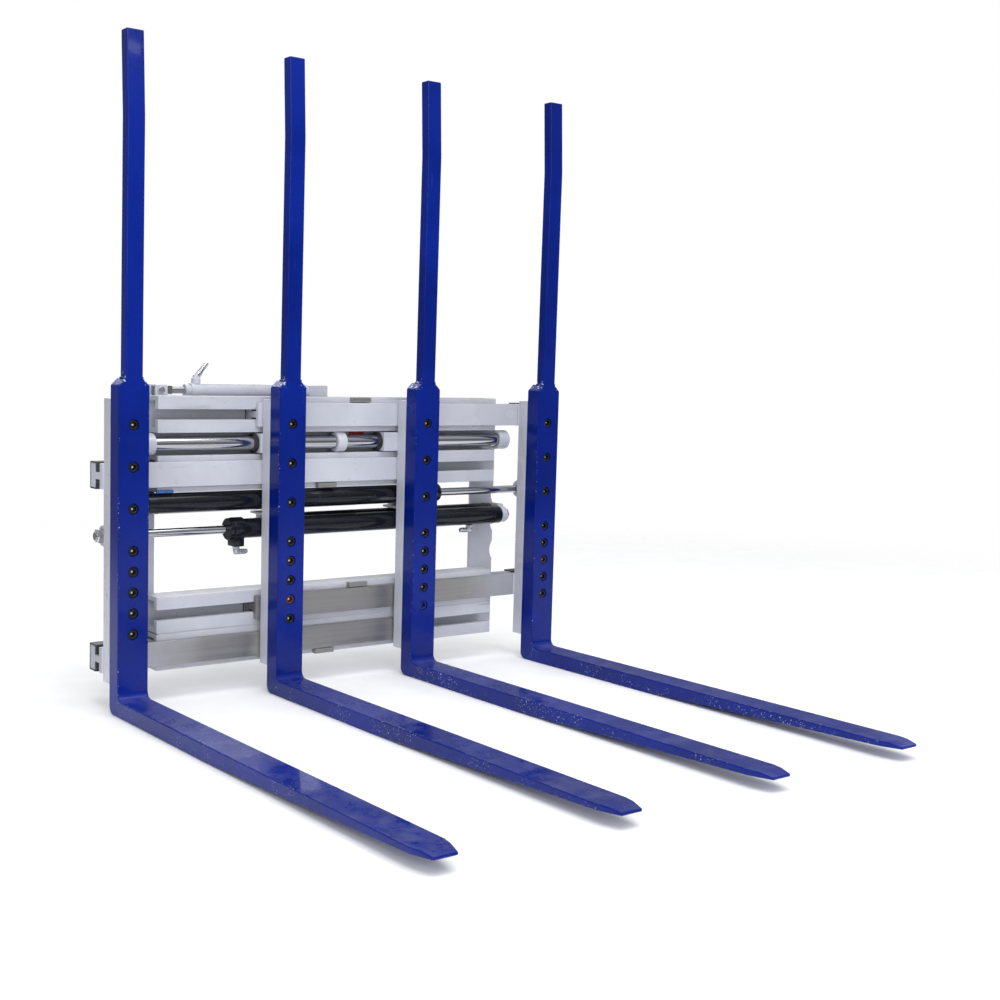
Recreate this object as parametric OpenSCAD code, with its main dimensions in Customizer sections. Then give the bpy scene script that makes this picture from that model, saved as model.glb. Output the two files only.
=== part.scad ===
// Single-double pallet handler: four sliding pallet forks on a side-shifting
// T-slot frame. X runs across the forks, the blades point to -Y, Z is up and
// the blades' undersides lie at Z = 0. Y positions are counted from the
// forks' load face and moved by load_face_y when a piece is placed.

/* [Forks] */
// Width of a fork's shank and blade
fork_w = 80; // [70:1:90]
// Thickness of a fork's shank, front to back
shank_t = 50; // [45:1:50]
// Height of the shank's top above the blades' undersides
shank_h = 822; // [800:1:840]
// Length of a blade, from the load face to its tip
blade_l = 1265; // [900:5:1500]
// Thickness of a blade near the heel
blade_t = 40; // [35:1:50]
// Thickness of a blade at its tip
tip_t = 12; // [8:1:20]
// Distance of an outer fork's middle from the centre line, fully open
outer_x = 660; // [640:5:680]
// Distance of an inner fork's middle from the centre line, fully open
inner_x = 217; // [210:1:225]

/* [Backrest bars] */
// Width of a backrest bar
bar_w = 45; // [35:1:60]
// Thickness of a backrest bar
bar_t = 32; // [20:1:40]
// Height of a backrest bar's top end
bar_top = 1640; // [1200:10:1800]

/* [Fork bolts] */
// Height of a fork's topmost bolt
bolt_top = 710; // [700:1:730]
// Distance between two neighbouring bolts in the lower row
bolt_pitch = 51; // [40:1:55]
// Thread diameter of a fork bolt
bolt_d = 16; // [12:2:18]

/* [Carriers] */
// Thickness of a carrier bar, front to back
carrier_t = 38; // [30:1:38]
// Height of a carrier's lower end
carrier_low = 72; // [60:1:75]
// Length of a carrier
carrier_l = 700; // [695:1:710]

/* [T-slot frame] */
// Length of a rail
rail_l = 1094; // [1084:2:1104]
// Height of a rail
rail_h = 94; // [90:1:94]
// Height of each rail's middle, from the top rail down
rail_z = [731, 580, 219, 123]; // [110:1:740]
// Height of a slide beam
beam_h = 64; // [56:1:66]

/* [Guide shaft] */
// Diameter of the guide shaft of the inner forks
shaft_d = 38; // [30:1:40]
// Height of the guide shaft
shaft_z = 655.5; // [654:0.5:657]
// Length of an inner fork's bush housing
housing_l = 130; // [100:2:140]

/* [Cylinders] */
// Outside diameter of an outer fork's cylinder
outer_barrel_d = 52; // [46:1:52]
// Diameter of an outer fork's piston rod
outer_rod_d = 22; // [16:1:25]
// Height of the upper one of the two outer cylinders
upper_cylinder_z = 505; // [504:1:508]
// Height of the lower one of the two outer cylinders
lower_cylinder_z = 430; // [427:1:431]
// Outside diameter of an inner fork's cylinder
inner_barrel_d = 32; // [26:1:32]

/* [Side shift] */
// Outside diameter of the side-shift cylinder
shift_barrel_d = 38; // [32:1:38]
// Diameter of the side-shift piston rod
shift_rod_d = 20; // [14:1:22]
// Height of the side-shift cylinder
shift_z = 791; // [790:1:800]

/* [Hidden] */
$fn = 48;

blue = "mediumblue";
white = "whitesmoke";
steel = "gray";
chrome = "silver";
black = "#202024";
bronze = "peru";
plastic = "dimgray";
zinc = "lightsteelblue";

// Small lengths: a gap between sliding faces, a running fit, and an overcut
slide_gap = 0.4;
run_fit = 0.05;
cut = 1;

// Depths counted back from the load face
beam_gap = 3;
beam_y = shank_t + carrier_t + beam_gap;
beam_t = 15;
lip_y = 108;
lip_t = 18;
cavity_y = lip_y + lip_t;
cavity_d = 38;
rail_d = 72;
rail_back_y = lip_y + rail_d;
front_axis_y = 119;
rear_axis_y = 163;

// T-slot section: cavity, slot and the beam that slides in them
cavity_h = 69;
slot_h = 26;
pad_t = 4;
foot_y = cavity_y + slide_gap + pad_t;
foot_d = cavity_d - 2 * slide_gap - 2 * pad_t;
foot_h = cavity_h - 2 * slide_gap - 2 * pad_t;
stem_h = 18;
beam_outer_end = outer_x + fork_w / 2 + 3;
beam_inner_end = 268;
pad_l = 60;

// Forks
heel_r = 20;
shoulder = (fork_w - bar_w) / 2;
tip_half_w = 27;
tip_cut_l = 55;
tip_bevel_l = 30;
taper_start = 440;
kink_z = 1440;

// Bolts: three at double pitch, then four at single pitch
bolt_z = [for (i = [0 : 7]) bolt_top - bolt_pitch * (i < 4 ? 2 * i : i + 3)];
bolt_head_d = 1.5 * bolt_d;
recess_d = bolt_head_d + 3;
recess_depth = 18;
bolt_key = 8;

// Rear side of the frame, where the truck's carriage hangs
side_plate_x = 563;
side_plate_w = 86;
side_plate_t = 14;
hook_x = 180;
hook_w = 110;
hook_face_y = rail_back_y + 12;
hook_slot_w = 18;
hook_back_y = hook_face_y + hook_slot_w + 18;
carriage_top_z = 587;
carriage_low_z = 180;
hook_pad_t = 3;
hook_bolt_x = 32;
hook_bolt_d = 16;

// Cylinders
barrel_end_x = 576;
gland_x = 343;
upper_gland_d = 54;
lower_gland_d = 62;
gland_l = 43;
port_block_step = 12;
port_block_h = 46;
rear_port_y = 159;
port_bore_d = 8;
port_bore_l = 18;
outer_rod_inside = 60;
inner_rod_inside = 70;
shift_rod_inside = 230;
base_port_x = barrel_end_x - 110;
base_port_turn = -6;
lug_inner_x = 650;
lug_l = 40;
rod_nut_l = 16;
anchor_t = 20;
inner_upper_z = 489;
inner_lower_z = 445;
inner_gland_x = 90;
inner_rod_d = 14;
inner_lug_low = 463;
inner_lug_t = 7;

// Guide shaft, inner housings and the collar between them
shaft_end_x = 580;
boss_d = 56;
boss_x = 556;
boss_l = 36;
housing_in_x = 132;
housing_d = 52;
bush_wall = 3;
bush_l = 30;
ring_l = 12;
collar_l = 30;
collar_d = 56;

// Side-shift cylinder
shift_y = 203;
shift_eye_x = -515;
shift_eye_l = 48;
shift_gland_x = -428;
shift_barrel_end_x = -55;
lug_w = 60;

// The whole part is moved so that its box is centred over the origin
load_face_y = (blade_l - hook_back_y - 10) / 2;

module placed(paint) color(paint) translate([0, load_face_y, 0]) children();

// Draws children as modelled for the right side, or mirrored for the left
module sided(side) {
  if (side < 0) mirror([1, 0, 0]) children();
  else children();
}

// A box given by its low corner and its high corner
module span(low, high) translate(low) cube(high - low);

// A round bar along X from x0 to x1
module bar_x(x0, x1, y, z, d) {
  translate([x0, y, z]) rotate([0, 90, 0]) cylinder(d = d, h = x1 - x0);
}

// A round bar along Y from y0 to y1
module bar_y(x, y0, y1, z, d, sides = 48) {
  translate([x, y0, z]) rotate([-90, 0, 0]) cylinder(d = d, h = y1 - y0, $fn = sides);
}

// A Y-Z outline drawn out along X, centred on x
module slab_x(x, w) translate([x - w / 2, 0, 0]) rotate([90, 0, 90]) linear_extrude(w) children();

function arc(y, z, r, a0, a1, n = 8) =
  [for (i = [0 : n]) let (a = a0 + (a1 - a0) * i / n) [y + r * cos(a), z + r * sin(a)]];

// ---- Forks ----

function fork_outline() = concat(
  arc(shank_t - heel_r, heel_r, heel_r, 0, -90),
  [[-taper_start, 0], [-blade_l, blade_t - tip_t], [-blade_l, blade_t - 5]],
  [[tip_bevel_l - blade_l, blade_t]],
  arc(-heel_r, blade_t + heel_r, heel_r, -90, 0),
  [[0, shank_h], [shank_t, shank_h]]
);

module tip_corner_cuts(x) {
  for (s = [-1, 1])
    translate([x, 0, -cut])
      linear_extrude(blade_t + 2 * cut)
        polygon([
          [s * (fork_w / 2 + cut), -blade_l + tip_cut_l],
          [s * fork_w / 2, -blade_l + tip_cut_l],
          [s * tip_half_w, -blade_l - cut],
          [s * (fork_w / 2 + cut), -blade_l - cut]
        ]);
}

module shoulder_cuts(x) {
  for (s = [-1, 1])
    translate([x, shank_t + cut, 0])
      rotate([90, 0, 0])
        linear_extrude(shank_t + 2 * cut)
          polygon([
            [s * fork_w / 2, shank_h - shoulder],
            [s * (fork_w / 2 + cut), shank_h - shoulder],
            [s * (fork_w / 2 + cut), shank_h + cut],
            [s * bar_w / 2, shank_h + cut],
            [s * bar_w / 2, shank_h]
          ]);
}

module fork(x) {
  placed(blue) difference() {
    slab_x(x, fork_w) polygon(fork_outline());
    tip_corner_cuts(x);
    shoulder_cuts(x);
    for (z = bolt_z) {
      bar_y(x, -cut, recess_depth, z, recess_d);
      bar_y(x, 0, shank_t + cut, z, bolt_d + 1);
    }
  }
}

module backrest_bar(x) {
  lean = 5;
  placed(blue) slab_x(x, bar_w) polygon([
    [0, shank_h], [bar_t, shank_h], [bar_t - lean, kink_z],
    [bar_t + lean, bar_top], [lean, bar_top], [-lean, kink_z]
  ]);
}

module fork_bolts(x) {
  placed(black) for (z = bolt_z) {
    difference() {
      bar_y(x, recess_depth - bolt_d, recess_depth, z, bolt_head_d);
      bar_y(x, recess_depth - bolt_d - cut, recess_depth - bolt_key, z, bolt_d, 6);
    }
    bar_y(x, recess_depth, shank_t + carrier_t - 3, z, bolt_d);
  }
}

module carrier_bar(x) {
  difference() {
    span([x - fork_w / 2, shank_t, carrier_low],
         [x + fork_w / 2, shank_t + carrier_t, carrier_low + carrier_l]);
    for (z = bolt_z) bar_y(x, shank_t - cut, shank_t + carrier_t + cut, z, bolt_d + run_fit);
  }
}

// ---- Outer forks: carrier with rod lug, T-beams, pads and rod ----

module outer_carrier(side, rod_z) {
  back_y = shank_t + carrier_t;
  placed(white) sided(side) {
    carrier_bar(outer_x);
    difference() {
      union() {
        bar_x(lug_inner_x, lug_inner_x + lug_l, front_axis_y, rod_z, 52);
        span([lug_inner_x, back_y, rod_z - 26], [lug_inner_x + lug_l, front_axis_y, rod_z + 26]);
      }
      bar_x(lug_inner_x - cut, lug_inner_x + lug_l + cut, front_axis_y, rod_z, outer_rod_d + run_fit);
    }
  }
}

module beam(side, z, paint) {
  beam_l = beam_outer_end + beam_inner_end;
  placed(paint) sided(side) translate([-beam_inner_end, 0, z]) {
    span([0, beam_y, -beam_h / 2], [beam_l, beam_y + beam_t, beam_h / 2]);
    span([0, beam_y + beam_t, -stem_h / 2], [beam_l, foot_y, stem_h / 2]);
    span([0, foot_y, -foot_h / 2], [beam_l, foot_y + foot_d, foot_h / 2]);
    span([beam_inner_end + outer_x - fork_w / 2, beam_y - beam_gap, -beam_h / 2],
         [beam_inner_end + outer_x + fork_w / 2, beam_y, beam_h / 2]);
  }
}

module slide_pad(x, z) {
  difference() {
    span([x, foot_y - pad_t, z - foot_h / 2 - pad_t],
         [x + pad_l, foot_y + foot_d + pad_t, z + foot_h / 2 + pad_t]);
    span([x - cut, foot_y, z - foot_h / 2], [x + pad_l + cut, foot_y + foot_d, z + foot_h / 2]);
    span([x - cut, foot_y - pad_t - cut, z - stem_h / 2], [x + pad_l + cut, foot_y + cut, z + stem_h / 2]);
  }
}

module slide_pads(side, heights) {
  inside_x = 485;
  placed(plastic) sided(side) for (z = heights, x = [-beam_inner_end, inside_x, beam_outer_end - pad_l])
    slide_pad(x, z);
}

module outer_rod(side, z) {
  head_x = gland_x - gland_l - outer_rod_inside;
  placed(chrome) sided(side) {
    bar_x(head_x, lug_inner_x + lug_l + rod_nut_l + 4, front_axis_y, z, outer_rod_d);
    difference() {
      translate([lug_inner_x + lug_l, front_axis_y, z])
        rotate([0, 90, 0]) cylinder(d = 37, h = rod_nut_l, $fn = 6);
      bar_x(lug_inner_x + lug_l - cut, lug_inner_x + lug_l + rod_nut_l + cut, front_axis_y, z, outer_rod_d);
    }
  }
}

// ---- Inner forks: carrier with rod lug, bush housing, bushes, rings, rod ----

module inner_carrier(side, rod_z) {
  back_y = shank_t + carrier_t;
  plate_top = inner_lug_low + inner_lug_t;
  ear_low = min(inner_lug_low, rod_z - 13);
  ear_top = max(plate_top, rod_z + 13);
  placed(white) sided(side) {
    carrier_bar(inner_x);
    span([inner_x - 25, back_y, inner_lug_low], [inner_x + 25, rear_axis_y + 13, plate_top]);
    difference() {
      span([inner_x - 8, rear_axis_y - 13, ear_low], [inner_x + 8, rear_axis_y + 13, ear_top]);
      bar_x(inner_x - 8 - cut, inner_x + 8 + cut, rear_axis_y, rod_z, inner_rod_d + run_fit);
    }
  }
}

module bush_housing(side) {
  back_y = shank_t + carrier_t;
  end_x = housing_in_x + housing_l;
  placed(white) sided(side) difference() {
    union() {
      bar_x(housing_in_x, end_x, front_axis_y, shaft_z, housing_d);
      span([housing_in_x, back_y, shaft_z - housing_d / 2], [end_x, front_axis_y, shaft_z + housing_d / 2]);
    }
    bar_x(housing_in_x - cut, end_x + cut, front_axis_y, shaft_z, shaft_d + 2 * bush_wall);
  }
}

module bushes(side) {
  placed(bronze) sided(side) for (x = [housing_in_x, housing_in_x + housing_l - bush_l]) difference() {
    bar_x(x, x + bush_l, front_axis_y, shaft_z, shaft_d + 2 * bush_wall);
    bar_x(x - cut, x + bush_l + cut, front_axis_y, shaft_z, shaft_d + 2 * run_fit);
  }
}

module wiper_rings(side) {
  placed(black) sided(side) for (x = [housing_in_x - ring_l, housing_in_x + housing_l]) difference() {
    bar_x(x, x + ring_l, front_axis_y, shaft_z, housing_d - 2);
    bar_x(x - cut, x + ring_l + cut, front_axis_y, shaft_z, shaft_d + 2 * slide_gap);
  }
}

module inner_rod(side, z) {
  placed(chrome) sided(side)
    bar_x(inner_gland_x - inner_rod_inside, inner_x + 14, rear_axis_y, z, inner_rod_d);
}

// ---- Frame ----

module rail(z) {
  far = rail_l / 2;
  placed(white) difference() {
    span([-far, lip_y, z - rail_h / 2], [far, rail_back_y, z + rail_h / 2]);
    span([-far - cut, cavity_y, z - cavity_h / 2], [far + cut, cavity_y + cavity_d, z + cavity_h / 2]);
    span([-far - cut, lip_y - cut, z - slot_h / 2], [far + cut, cavity_y + cut, z + slot_h / 2]);
  }
}

module upper_web_plate() {
  placed(white)
    span([-rail_l / 2, rail_back_y - 14, rail_z[1] + rail_h / 2],
         [rail_l / 2, rail_back_y, rail_z[0] - rail_h / 2]);
}

module side_plate() {
  low = rail_z[3] - rail_h / 2 + 12;
  high = rail_z[0] + rail_h / 2 - 12;
  scallop_d = 90;
  scallop_x = side_plate_x + side_plate_w / 2 + 36;
  difference() {
    span([side_plate_x - side_plate_w / 2, rail_back_y, low],
         [side_plate_x + side_plate_w / 2, rail_back_y + side_plate_t, high]);
    for (z = [315, 400, 485])
      bar_y(scallop_x, rail_back_y - cut, rail_back_y + side_plate_t + cut, z, scallop_d);
  }
}

module side_plates() {
  placed(white) for (side = [-1, 1]) sided(side) side_plate();
}

module upper_hooks() {
  low = rail_z[1] - rail_h / 2 + 6;
  seat = carriage_top_z + hook_pad_t;
  placed(white) for (x = [-hook_x, hook_x]) slab_x(x, hook_w) polygon([
    [rail_back_y, low], [hook_face_y, low], [hook_face_y, seat],
    [hook_face_y + hook_slot_w, seat], [hook_face_y + hook_slot_w, seat - 20],
    [hook_back_y, seat - 20], [hook_back_y, seat + 18],
    [hook_back_y - 14, seat + 34], [rail_back_y, seat + 34]
  ]);
}

module hook_wear_pads() {
  placed(plastic) for (x = [-hook_x, hook_x])
    span([x - hook_w / 2 + 4, hook_face_y + 3, carriage_top_z],
         [x + hook_w / 2 - 4, hook_face_y + hook_slot_w - 1, carriage_top_z + hook_pad_t]);
}

module lower_hooks() {
  low = rail_z[3] - 10;
  floor_z = carriage_low_z - 2;
  bolt_line = floor_z - 22;
  placed(white) for (x = [-hook_x, hook_x]) difference() {
    slab_x(x, hook_w) polygon([
      [rail_back_y, low], [hook_face_y + 6, low], [hook_back_y, bolt_line - 18],
      [hook_back_y, floor_z + 18], [hook_face_y + hook_slot_w, floor_z + 18],
      [hook_face_y + hook_slot_w, floor_z], [hook_face_y, floor_z],
      [hook_face_y, floor_z + 36], [rail_back_y, floor_z + 36]
    ]);
    for (s = [-1, 1])
      bar_y(x + s * hook_bolt_x, rail_back_y - cut, hook_back_y + cut, bolt_line, hook_bolt_d + 1);
  }
}

module lower_hook_bolts() {
  bolt_line = carriage_low_z - 24;
  placed(zinc) for (x = [-hook_x, hook_x], s = [-1, 1]) {
    bar_y(x + s * hook_bolt_x, rail_back_y, hook_back_y, bolt_line, hook_bolt_d);
    bar_y(x + s * hook_bolt_x, hook_back_y, hook_back_y + 10, bolt_line, 27, 6);
  }
}

module guide_shaft() {
  placed(chrome) bar_x(-shaft_end_x, shaft_end_x, front_axis_y, shaft_z, shaft_d);
}

module shaft_bosses() {
  placed(white) for (side = [-1, 1]) sided(side) difference() {
    union() {
      bar_x(boss_x, boss_x + boss_l, front_axis_y, shaft_z, boss_d);
      span([boss_x, front_axis_y, shaft_z - 16], [boss_x + boss_l, rail_back_y, shaft_z + 16]);
    }
    bar_x(boss_x - cut, shaft_end_x, front_axis_y, shaft_z, shaft_d + run_fit);
  }
}

module stop_collar() {
  placed(white) difference() {
    bar_x(-collar_l / 2, collar_l / 2, front_axis_y, shaft_z, collar_d);
    bar_x(-collar_l / 2 - cut, collar_l / 2 + cut, front_axis_y, shaft_z, shaft_d + run_fit);
  }
}

// Each keeper sits on a rail's front face, at the free edge of its beam
module keeper_blocks() {
  keeper_l = 60;
  keeper_x = 54;
  keeper_shift = 4;
  first = beam_h / 2 + 1.5;
  last = rail_h / 2;
  placed(steel) for (i = [0 : 3]) {
    up = i % 2 == 0 ? 1 : -1;
    translate([keeper_shift + up * keeper_x, 0, rail_z[i]])
      span([-keeper_l / 2, beam_y + 1, min(up * first, up * last)],
           [keeper_l / 2, lip_y, max(up * first, up * last)]);
  }
}

// End plates that hold the cylinders' base ends
module anchor(side, front_z, rear_z) {
  low = min(front_z - 24, rear_z - inner_barrel_d / 2);
  high = max(front_z + 24, rear_z + inner_barrel_d / 2);
  sided(side) difference() {
    union() {
      bar_x(barrel_end_x, barrel_end_x + anchor_t, front_axis_y, front_z, 48);
      span([barrel_end_x, front_axis_y, low], [barrel_end_x + anchor_t, rail_back_y, high]);
    }
    bar_x(barrel_end_x - cut, barrel_end_x + anchor_t + cut, front_axis_y, front_z, 20 + run_fit);
    bar_x(barrel_end_x - cut, barrel_end_x + anchor_t + cut, rear_axis_y, rear_z, 14 + run_fit);
  }
}

module cylinder_anchors() {
  placed(white) {
    anchor(-1, upper_cylinder_z, inner_upper_z);
    anchor(1, lower_cylinder_z, inner_lower_z);
  }
}

module anchor_nut(y, z, stud_d) {
  x = barrel_end_x + anchor_t;
  translate([x, y, z]) rotate([0, 90, 0]) difference() {
    cylinder(d = 1.75 * stud_d, h = 12, $fn = 6);
    translate([0, 0, -cut]) cylinder(d = stud_d, h = 12 + 2 * cut);
  }
}

module anchor_nuts() {
  placed(zinc) {
    sided(-1) {
      anchor_nut(front_axis_y, upper_cylinder_z, 20);
      anchor_nut(rear_axis_y, inner_upper_z, 14);
    }
    sided(1) {
      anchor_nut(front_axis_y, lower_cylinder_z, 20);
      anchor_nut(rear_axis_y, inner_lower_z, 14);
    }
  }
}

// A barrel modelled with its base at +X and its mouth towards -X
module outer_barrel(side, z) {
  base_l = 30;
  mouth_x = gland_l - gland_x;
  placed(black) sided(side) {
    difference() {
      bar_x(mouth_x, barrel_end_x, front_axis_y, z, outer_barrel_d);
      bar_x(mouth_x - cut, barrel_end_x - base_l, front_axis_y, z, outer_barrel_d - 12);
    }
    bar_x(barrel_end_x, barrel_end_x + anchor_t + 14, front_axis_y, z, 20);
  }
}

// Gland of a cylinder with its mouth towards -X; its port block is a child
module gland(side, z, d) {
  sided(side) difference() {
    union() {
      bar_x(-gland_x, gland_l - gland_x, front_axis_y, z, d);
      children();
    }
    bar_x(-gland_x - cut, gland_l - gland_x + cut, front_axis_y, z, outer_rod_d + 2 * run_fit);
  }
}

// The lower gland's port block hangs below it, the upper one's sits behind it
module outer_glands() {
  x0 = port_block_step - gland_x;
  x1 = gland_l - gland_x;
  placed(black) {
    gland(1, lower_cylinder_z, lower_gland_d)
      span([x0, front_axis_y - 19, lower_cylinder_z - port_block_h],
           [x1, front_axis_y + 19, lower_cylinder_z - 24]);
    gland(-1, upper_cylinder_z, upper_gland_d)
      span([x0, front_axis_y + 24, upper_cylinder_z - 15],
           [x1, rear_port_y + 14, upper_cylinder_z + 15]);
  }
}

module inner_barrel(side, z) {
  wall = 4;
  base_l = 20;
  sided(side) {
    difference() {
      bar_x(-inner_gland_x, barrel_end_x, rear_axis_y, z, inner_barrel_d);
      bar_x(-inner_gland_x + 24, barrel_end_x - base_l, rear_axis_y, z, inner_barrel_d - 2 * wall);
      bar_x(-inner_gland_x - cut, -inner_gland_x + 26, rear_axis_y, z, inner_rod_d + 2 * run_fit);
    }
    bar_x(barrel_end_x, barrel_end_x + anchor_t + 14, rear_axis_y, z, 14);
  }
}

module inner_barrels() {
  placed(black) {
    inner_barrel(1, inner_lower_z);
    inner_barrel(-1, inner_upper_z);
  }
}

// Hose fitting that stands on z = 0 and opens upwards
module port_fitting() {
  hex_h = 10;
  neck_h = 14;
  difference() {
    union() {
      cylinder(d = 22, h = hex_h, $fn = 6);
      translate([0, 0, hex_h]) cylinder(d = 16, h = neck_h);
    }
    translate([0, 0, hex_h + neck_h - port_bore_l]) cylinder(d = port_bore_d, h = port_bore_l + cut);
  }
}

// Elbow that stands on z = 0 and opens along +X
module port_elbow() {
  hex_h = 8;
  turn_z = 15;
  arm_l = 32;
  arm_d = 16;
  difference() {
    union() {
      cylinder(d = 22, h = hex_h, $fn = 6);
      cylinder(d = arm_d + 1, h = turn_z + arm_d / 2);
      translate([0, 0, turn_z]) rotate([0, 90, 0]) cylinder(d = arm_d, h = arm_l);
    }
    translate([arm_l - port_bore_l, 0, turn_z]) rotate([0, 90, 0])
      cylinder(d = port_bore_d, h = port_bore_l + cut);
  }
}

module port_fittings() {
  gland_port_x = gland_x - 28;
  placed(zinc) {
    translate([-gland_port_x, front_axis_y, lower_cylinder_z - port_block_h])
      rotate([180, 0, 0]) port_elbow();
    translate([gland_x - port_block_step, rear_port_y, upper_cylinder_z])
      rotate([0, 90, 0]) port_fitting();
    translate([base_port_x, front_axis_y, lower_cylinder_z - outer_barrel_d / 2])
      rotate([0, 0, base_port_turn]) rotate([0, 180, 0]) port_elbow();
  }
}

// ---- Side shift ----

module shift_bracket() {
  ear_low = shift_z - 14;
  x0 = shift_eye_x - 4;
  x1 = shift_eye_x + 30;
  placed(white) difference() {
    union() {
      span([x0, rail_back_y, ear_low - 34], [x1, shift_y + 24, ear_low]);
      span([x0, shift_y - 22, ear_low], [x1, shift_y - 14, shift_z + 14]);
      span([x0, shift_y + 14, ear_low], [x1, shift_y + 22, shift_z + 14]);
    }
    bar_y(shift_eye_x + 12, shift_y - 22 - cut, shift_y + 22 + cut, shift_z, 12 + run_fit);
  }
}

module shift_pin() {
  placed(zinc) {
    bar_y(shift_eye_x + 12, shift_y - 24, shift_y + 26, shift_z, 12);
    bar_y(shift_eye_x + 12, shift_y - 28, shift_y - 24, shift_z, 18);
  }
}

module shift_rod() {
  placed(chrome) difference() {
    union() {
      span([shift_eye_x, shift_y - 12, shift_z - 11],
           [shift_eye_x + shift_eye_l, shift_y + 12, shift_z + 11]);
      bar_x(shift_eye_x + shift_eye_l, shift_gland_x + shift_rod_inside, shift_y, shift_z, shift_rod_d);
    }
    bar_y(shift_eye_x + 12, shift_y - 13, shift_y + 13, shift_z, 12 + run_fit);
  }
}

module shift_barrel() {
  gland_l = 16;
  placed(white) difference() {
    union() {
      bar_x(shift_gland_x, shift_gland_x + gland_l, shift_y, shift_z, shift_barrel_d - 6);
      bar_x(shift_gland_x + gland_l, shift_barrel_end_x, shift_y, shift_z, shift_barrel_d);
    }
    bar_x(shift_gland_x - cut, shift_gland_x + 30, shift_y, shift_z, shift_rod_d + 2 * run_fit);
    bar_x(shift_gland_x + 28, shift_barrel_end_x - 20, shift_y, shift_z, shift_barrel_d - 10);
  }
}

module shift_fitting() {
  hose_tilt = 40;
  base_h = 15;
  tail_l = 50;
  placed(zinc) translate([shift_gland_x + 34, shift_y, shift_z + shift_barrel_d / 2]) {
    cylinder(d = 24, h = base_h);
    translate([0, 0, base_h]) rotate([0, hose_tilt, 0]) difference() {
      union() {
        translate([0, 0, -6]) cylinder(d = 18, h = 24, $fn = 6);
        cylinder(d = 13, h = tail_l);
      }
      translate([0, 0, tail_l - port_bore_l]) cylinder(d = port_bore_d, h = port_bore_l + cut);
    }
  }
}

// The lug hangs from the cylinder; its tongue drops into the middle notch of
// the truck carriage's top edge
module carriage_lug() {
  x = shift_barrel_end_x;
  tongue_w = 26;
  placed(white) {
    span([x, shift_y - 17, shift_z - 80], [x + lug_w, shift_y + 17, shift_z + 17]);
    span([x + (lug_w - tongue_w) / 2, shift_y - 17, carriage_top_z - 12],
         [x + (lug_w + tongue_w) / 2, hook_face_y + hook_slot_w - 2, shift_z - 80]);
  }
}

// ---- Nodes ----

left_outer_beams = [rail_z[1], rail_z[3]];
right_outer_beams = [rail_z[0], rail_z[2]];

rail(rail_z[0]);  // top_rail
rail(rail_z[1]);  // upper_rail
rail(rail_z[2]);  // lower_rail
rail(rail_z[3]);  // bottom_rail
upper_web_plate();
side_plates();
upper_hooks();
hook_wear_pads();
lower_hooks();
lower_hook_bolts();
guide_shaft();
shaft_bosses();
stop_collar();
keeper_blocks();
cylinder_anchors();
anchor_nuts();
outer_barrel(-1, upper_cylinder_z);  // upper_outer_barrel
outer_barrel(1, lower_cylinder_z);  // lower_outer_barrel
outer_glands();
inner_barrels();
port_fittings();
shift_bracket();
shift_pin();
shift_rod();
shift_barrel();
shift_fitting();
carriage_lug();
fork(-outer_x);  // left_outer_fork
backrest_bar(-outer_x);  // left_outer_bar
outer_carrier(-1, lower_cylinder_z);  // left_outer_carrier
fork_bolts(-outer_x);  // left_outer_bolts
beam(-1, left_outer_beams[0], white);  // left_outer_upper_beam
beam(-1, left_outer_beams[1], steel);  // left_outer_lower_beam
slide_pads(-1, left_outer_beams);  // left_outer_slide_pads
outer_rod(-1, lower_cylinder_z);  // left_outer_rod
fork(outer_x);  // right_outer_fork
backrest_bar(outer_x);  // right_outer_bar
outer_carrier(1, upper_cylinder_z);  // right_outer_carrier
fork_bolts(outer_x);  // right_outer_bolts
beam(1, right_outer_beams[0], white);  // right_outer_upper_beam
beam(1, right_outer_beams[1], steel);  // right_outer_lower_beam
slide_pads(1, right_outer_beams);  // right_outer_slide_pads
outer_rod(1, upper_cylinder_z);  // right_outer_rod
fork(-inner_x);  // left_inner_fork
backrest_bar(-inner_x);  // left_inner_bar
inner_carrier(-1, inner_lower_z);  // left_inner_carrier
fork_bolts(-inner_x);  // left_inner_bolts
bush_housing(-1);  // left_inner_housing
bushes(-1);  // left_inner_bushes
wiper_rings(-1);  // left_inner_wiper_rings
inner_rod(-1, inner_lower_z);  // left_inner_rod
fork(inner_x);  // right_inner_fork
backrest_bar(inner_x);  // right_inner_bar
inner_carrier(1, inner_upper_z);  // right_inner_carrier
fork_bolts(inner_x);  // right_inner_bolts
bush_housing(1);  // right_inner_housing
bushes(1);  // right_inner_bushes
wiper_rings(1);  // right_inner_wiper_rings
inner_rod(1, inner_upper_z);  // right_inner_rod
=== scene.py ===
"""Looks for a single-double pallet handler: four sliding forks on a T-slot frame.

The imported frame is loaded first. Every operator below makes one group of pieces
on it, and the panel in the 3D view's sidebar lists them in working order.
"""

import math

import bmesh
import bpy
from mathutils import Matrix, Vector


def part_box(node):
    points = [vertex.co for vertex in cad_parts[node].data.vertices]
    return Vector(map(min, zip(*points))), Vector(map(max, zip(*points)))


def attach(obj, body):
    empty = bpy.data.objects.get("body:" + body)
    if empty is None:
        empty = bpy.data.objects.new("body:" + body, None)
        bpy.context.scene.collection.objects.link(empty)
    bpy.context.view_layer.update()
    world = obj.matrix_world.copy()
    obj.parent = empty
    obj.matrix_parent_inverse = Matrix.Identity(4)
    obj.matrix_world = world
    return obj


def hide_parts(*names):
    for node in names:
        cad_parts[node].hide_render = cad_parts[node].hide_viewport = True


bl_info = {
    "name": "Pallet handler looks",
    "version": (1, 0, 0),
    "blender": (4, 5, 0),
    "location": "3D View > Sidebar > Pallet handler",
    "description": "Pieces, paint and studio for a four-fork pallet handler",
    "category": "Object",
}

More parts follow.
